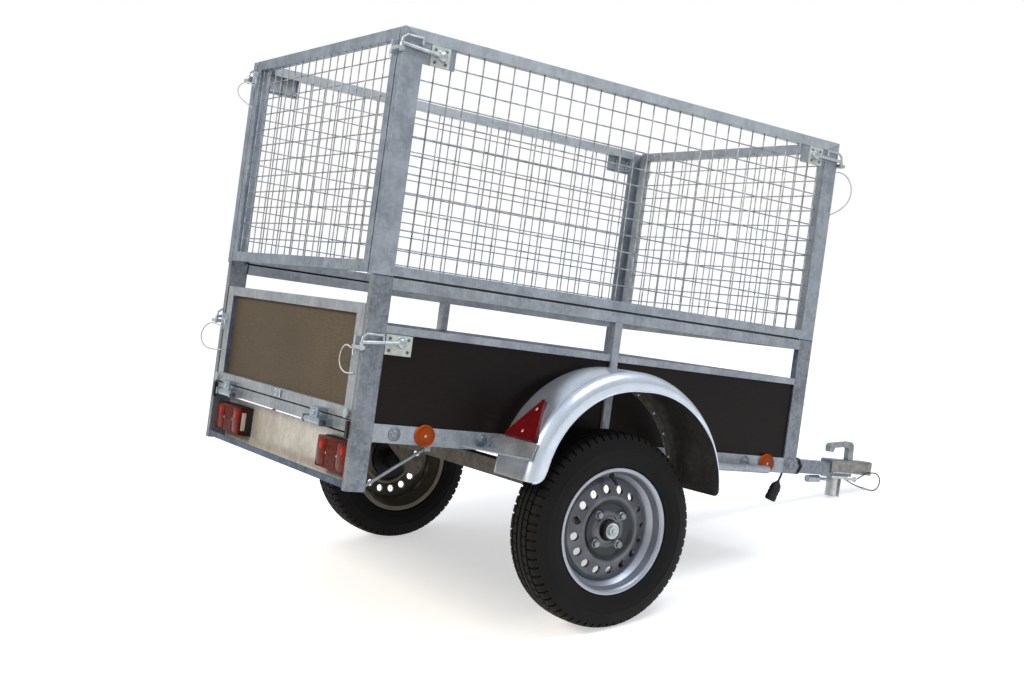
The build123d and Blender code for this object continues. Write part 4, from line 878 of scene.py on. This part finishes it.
white_coating = pale_plastic("white_coating", "#dde1e3", "#b8bfc4")
LANYARD_DIAMETER = 4.0
LANYARDS = [                # name, body, length in millimetres, points from the clip to the stile
    ("lanyard_tailgate_right", "tailgate", 176, [
        (-7.5, -471, 702), (-9, -450, 711), (-9, -424, 703), (-8, -409, 681), (-8, -411, 656),
        (-7, -430, 639), (-4, -456, 633), (3.4, -481, 637)]),
    ("lanyard_tailgate_left", "tailgate", 196, [
        (-8, 473, 690), (-22, 490, 699), (-38, 510, 699), (-52, 524, 680), (-56, 529, 650),
        (-46, 520, 622), (-24, 503, 612), (3.4, 485, 616)]),
    ("lanyard_rear_gate_left", "rear_gate", 147, [
        (-13.5, 468, 1476), (-26, 480, 1485), (-42, 497, 1482), (-52, 507, 1462), (-46, 503, 1438),
        (-26, 491, 1420), (-3, 478, 1407)]),
    ("lanyard_front_gate_right", "front_gate", 265, [
        (1643.5, -468, 1466), (1662, -486, 1473), (1688, -508, 1468), (1706, -522, 1440), (1711, -526, 1404),
        (1702, -520, 1370), (1682, -506, 1343), (1656, -490, 1324), (1633, -478, 1314)]),
]
for name, body, length, route in LANYARDS:
    lanyard = free_cord(name + "_cord", route, LANYARD_DIAMETER, body, white_coating, name)


# ---------------- drawbar, coupling and jockey-wheel clamp
# A square zinc drawbar with a rubber band round it. The coupling is a pressed steel ball head with a rolled
# flange and a bare bent lever. The clamp for the jockey wheel is plated, and its handle has a blue zinc grip.
dress(post_zinc, "drawbar")
dress(bright_steel("coupling_steel", "#928f87", "#74716b", roughness=0.3, metallic=0.7), "coupling_head")
# painted light: the head's rear-facing and top faces take the drawbar's zinc, to lift them out of their shade
redress("coupling_head", post_zinc, lambda at, normal: normal.x < -0.7 or at.z > 474)
dress(bright_steel("lever_steel", "#94989a", "#75797b", roughness=0.34, metallic=0.75), "coupling_lever")
dress(bright_steel("clamp_zinc", "#e4e6e3", "#c4c8c4", roughness=0.42, metallic=0.5), "jockey_clamp")
dress(blue_zinc, "clamp_grip")
BAND_ROUTE = [(2160, -21, 462.5), (2164, -4, 464), (2158, 12, 463), (2160, 21, 462.5), (2163, 25, 458),
              (2156, 27, 444), (2166, 26, 428), (2161, 25, 416), (2160, 21, 412.5), (2164, 0, 411.5),
              (2160, -21, 412.5), (2158, -25, 417), (2166, -27, 430), (2171, -26, 440), (2161, -27, 450),
              (2158, -25, 459), (2160, -21, 462.5)]
bm = bmesh.new()
rolled_wire(bm, BAND_ROUTE, 6.0)
piece_from(bm, "strap_band", "trailer", [black_rubber], ["drawbar_strap"], crease=60.0)
bm = bmesh.new()
for side in (-1, 1):                    # rolled flange along the coupling
    slab(bm, (2340, side * 33 - 2.6, 424), (2541, side * 33 + 2.6, 429.6), 0, 1.4)
piece_from(bm, "coupling_trim", "trailer", [zinc_plate])


# ---------------- safety cable
# A dull grey wire rope is crimped to the jockey-wheel clamp and loops forward round the ball head.
# Its spliced end is held by one swaged ferrule, and both ends go into the clamp.
wire_rope = bright_steel("wire_rope", "#5d5f60", "#303233", roughness=0.45, metallic=0.6, scratch=1.6)
CABLE_ROUTE = [
    (2424, -32, 399), (2447, -36, 389.5), (2474, -39, 381.5), (2504, -41, 375), (2531, -42, 370),
    (2557, -43, 367), (2583, -43, 368.5), (2603, -43, 388), (2603, -43, 416), (2583, -43, 435),
    (2556, -43, 437.5), (2528, -42, 433), (2504, -39, 423), (2482, -32, 407)]
CABLE_LENGTH, CABLE_DIAMETER = 352, 5.0
cable = free_cord("safety_rope", CABLE_ROUTE, CABLE_DIAMETER, "trailer", wire_rope,
                  "safety_cable")
bm = bmesh.new()
ferrule_from, ferrule_to = Vector((2508, -41.2, 374.2)), Vector((2531, -42, 370))
turned(bm, [(0, 0), (3.4, 0), (4.6, 1.5), (4.8, 7), (4.2, 9), (4.8, 11), (4.8, 20), (4.2, 23.4), (0, 23.4)],
       ferrule_from, ferrule_to - ferrule_from, 16)
ferrule = piece_from(bm, "cable_ferrule", "trailer", [zinc_plate])


# ---------------- lighting plug and its lead
# A black PVC lead comes out of the right front post and carries a moulded trailer plug.
# The lead is a smooth hanging cord; the plug is turned, with grip flutes and a flanged mouth.
LEAD_ROUTE = [(1585, -510, 482), (1585, -510, 467), (1583.2, -509.5, 455), (1580, -508.5, 444),
              (1576.6, -507.5, 434)]
LEAD_LENGTH, LEAD_DIAMETER = 49, 7.0
plug_axis = (Vector(LEAD_ROUTE[-1]) - Vector(LEAD_ROUTE[-2])).normalized()
PLUG_BODY = [(0, 0), (5.6, 0), (6.4, 2), (5.8, 3.4), (8, 5), (12, 9), (15, 14), (16.8, 20), (17.4, 26),
             (18.4, 28), (18.4, 31), (17.2, 33), (17.2, 38), (18.4, 40), (18.4, 43), (17.2, 45), (17.4, 52),
             (18.5, 54), (18.5, 62), (16.6, 68), (14.6, 68), (14, 58), (0, 58)]
bm = bmesh.new()
turned(bm, PLUG_BODY, LEAD_ROUTE[-1], plug_axis, 36)
sides = [face for face in bm.faces if abs(face.normal.dot(plug_axis)) < 0.3 and face.calc_area() > 40]
bmesh.ops.inset_individual(bm, faces=sides[::2], thickness=0.7, depth=0.8)
plug = piece_from(bm, "trailer_plug", "trailer", [black_pvc], ["plug"])
lead = free_cord("plug_cord", LEAD_ROUTE, LEAD_DIAMETER, "trailer", black_pvc, "plug_lead")
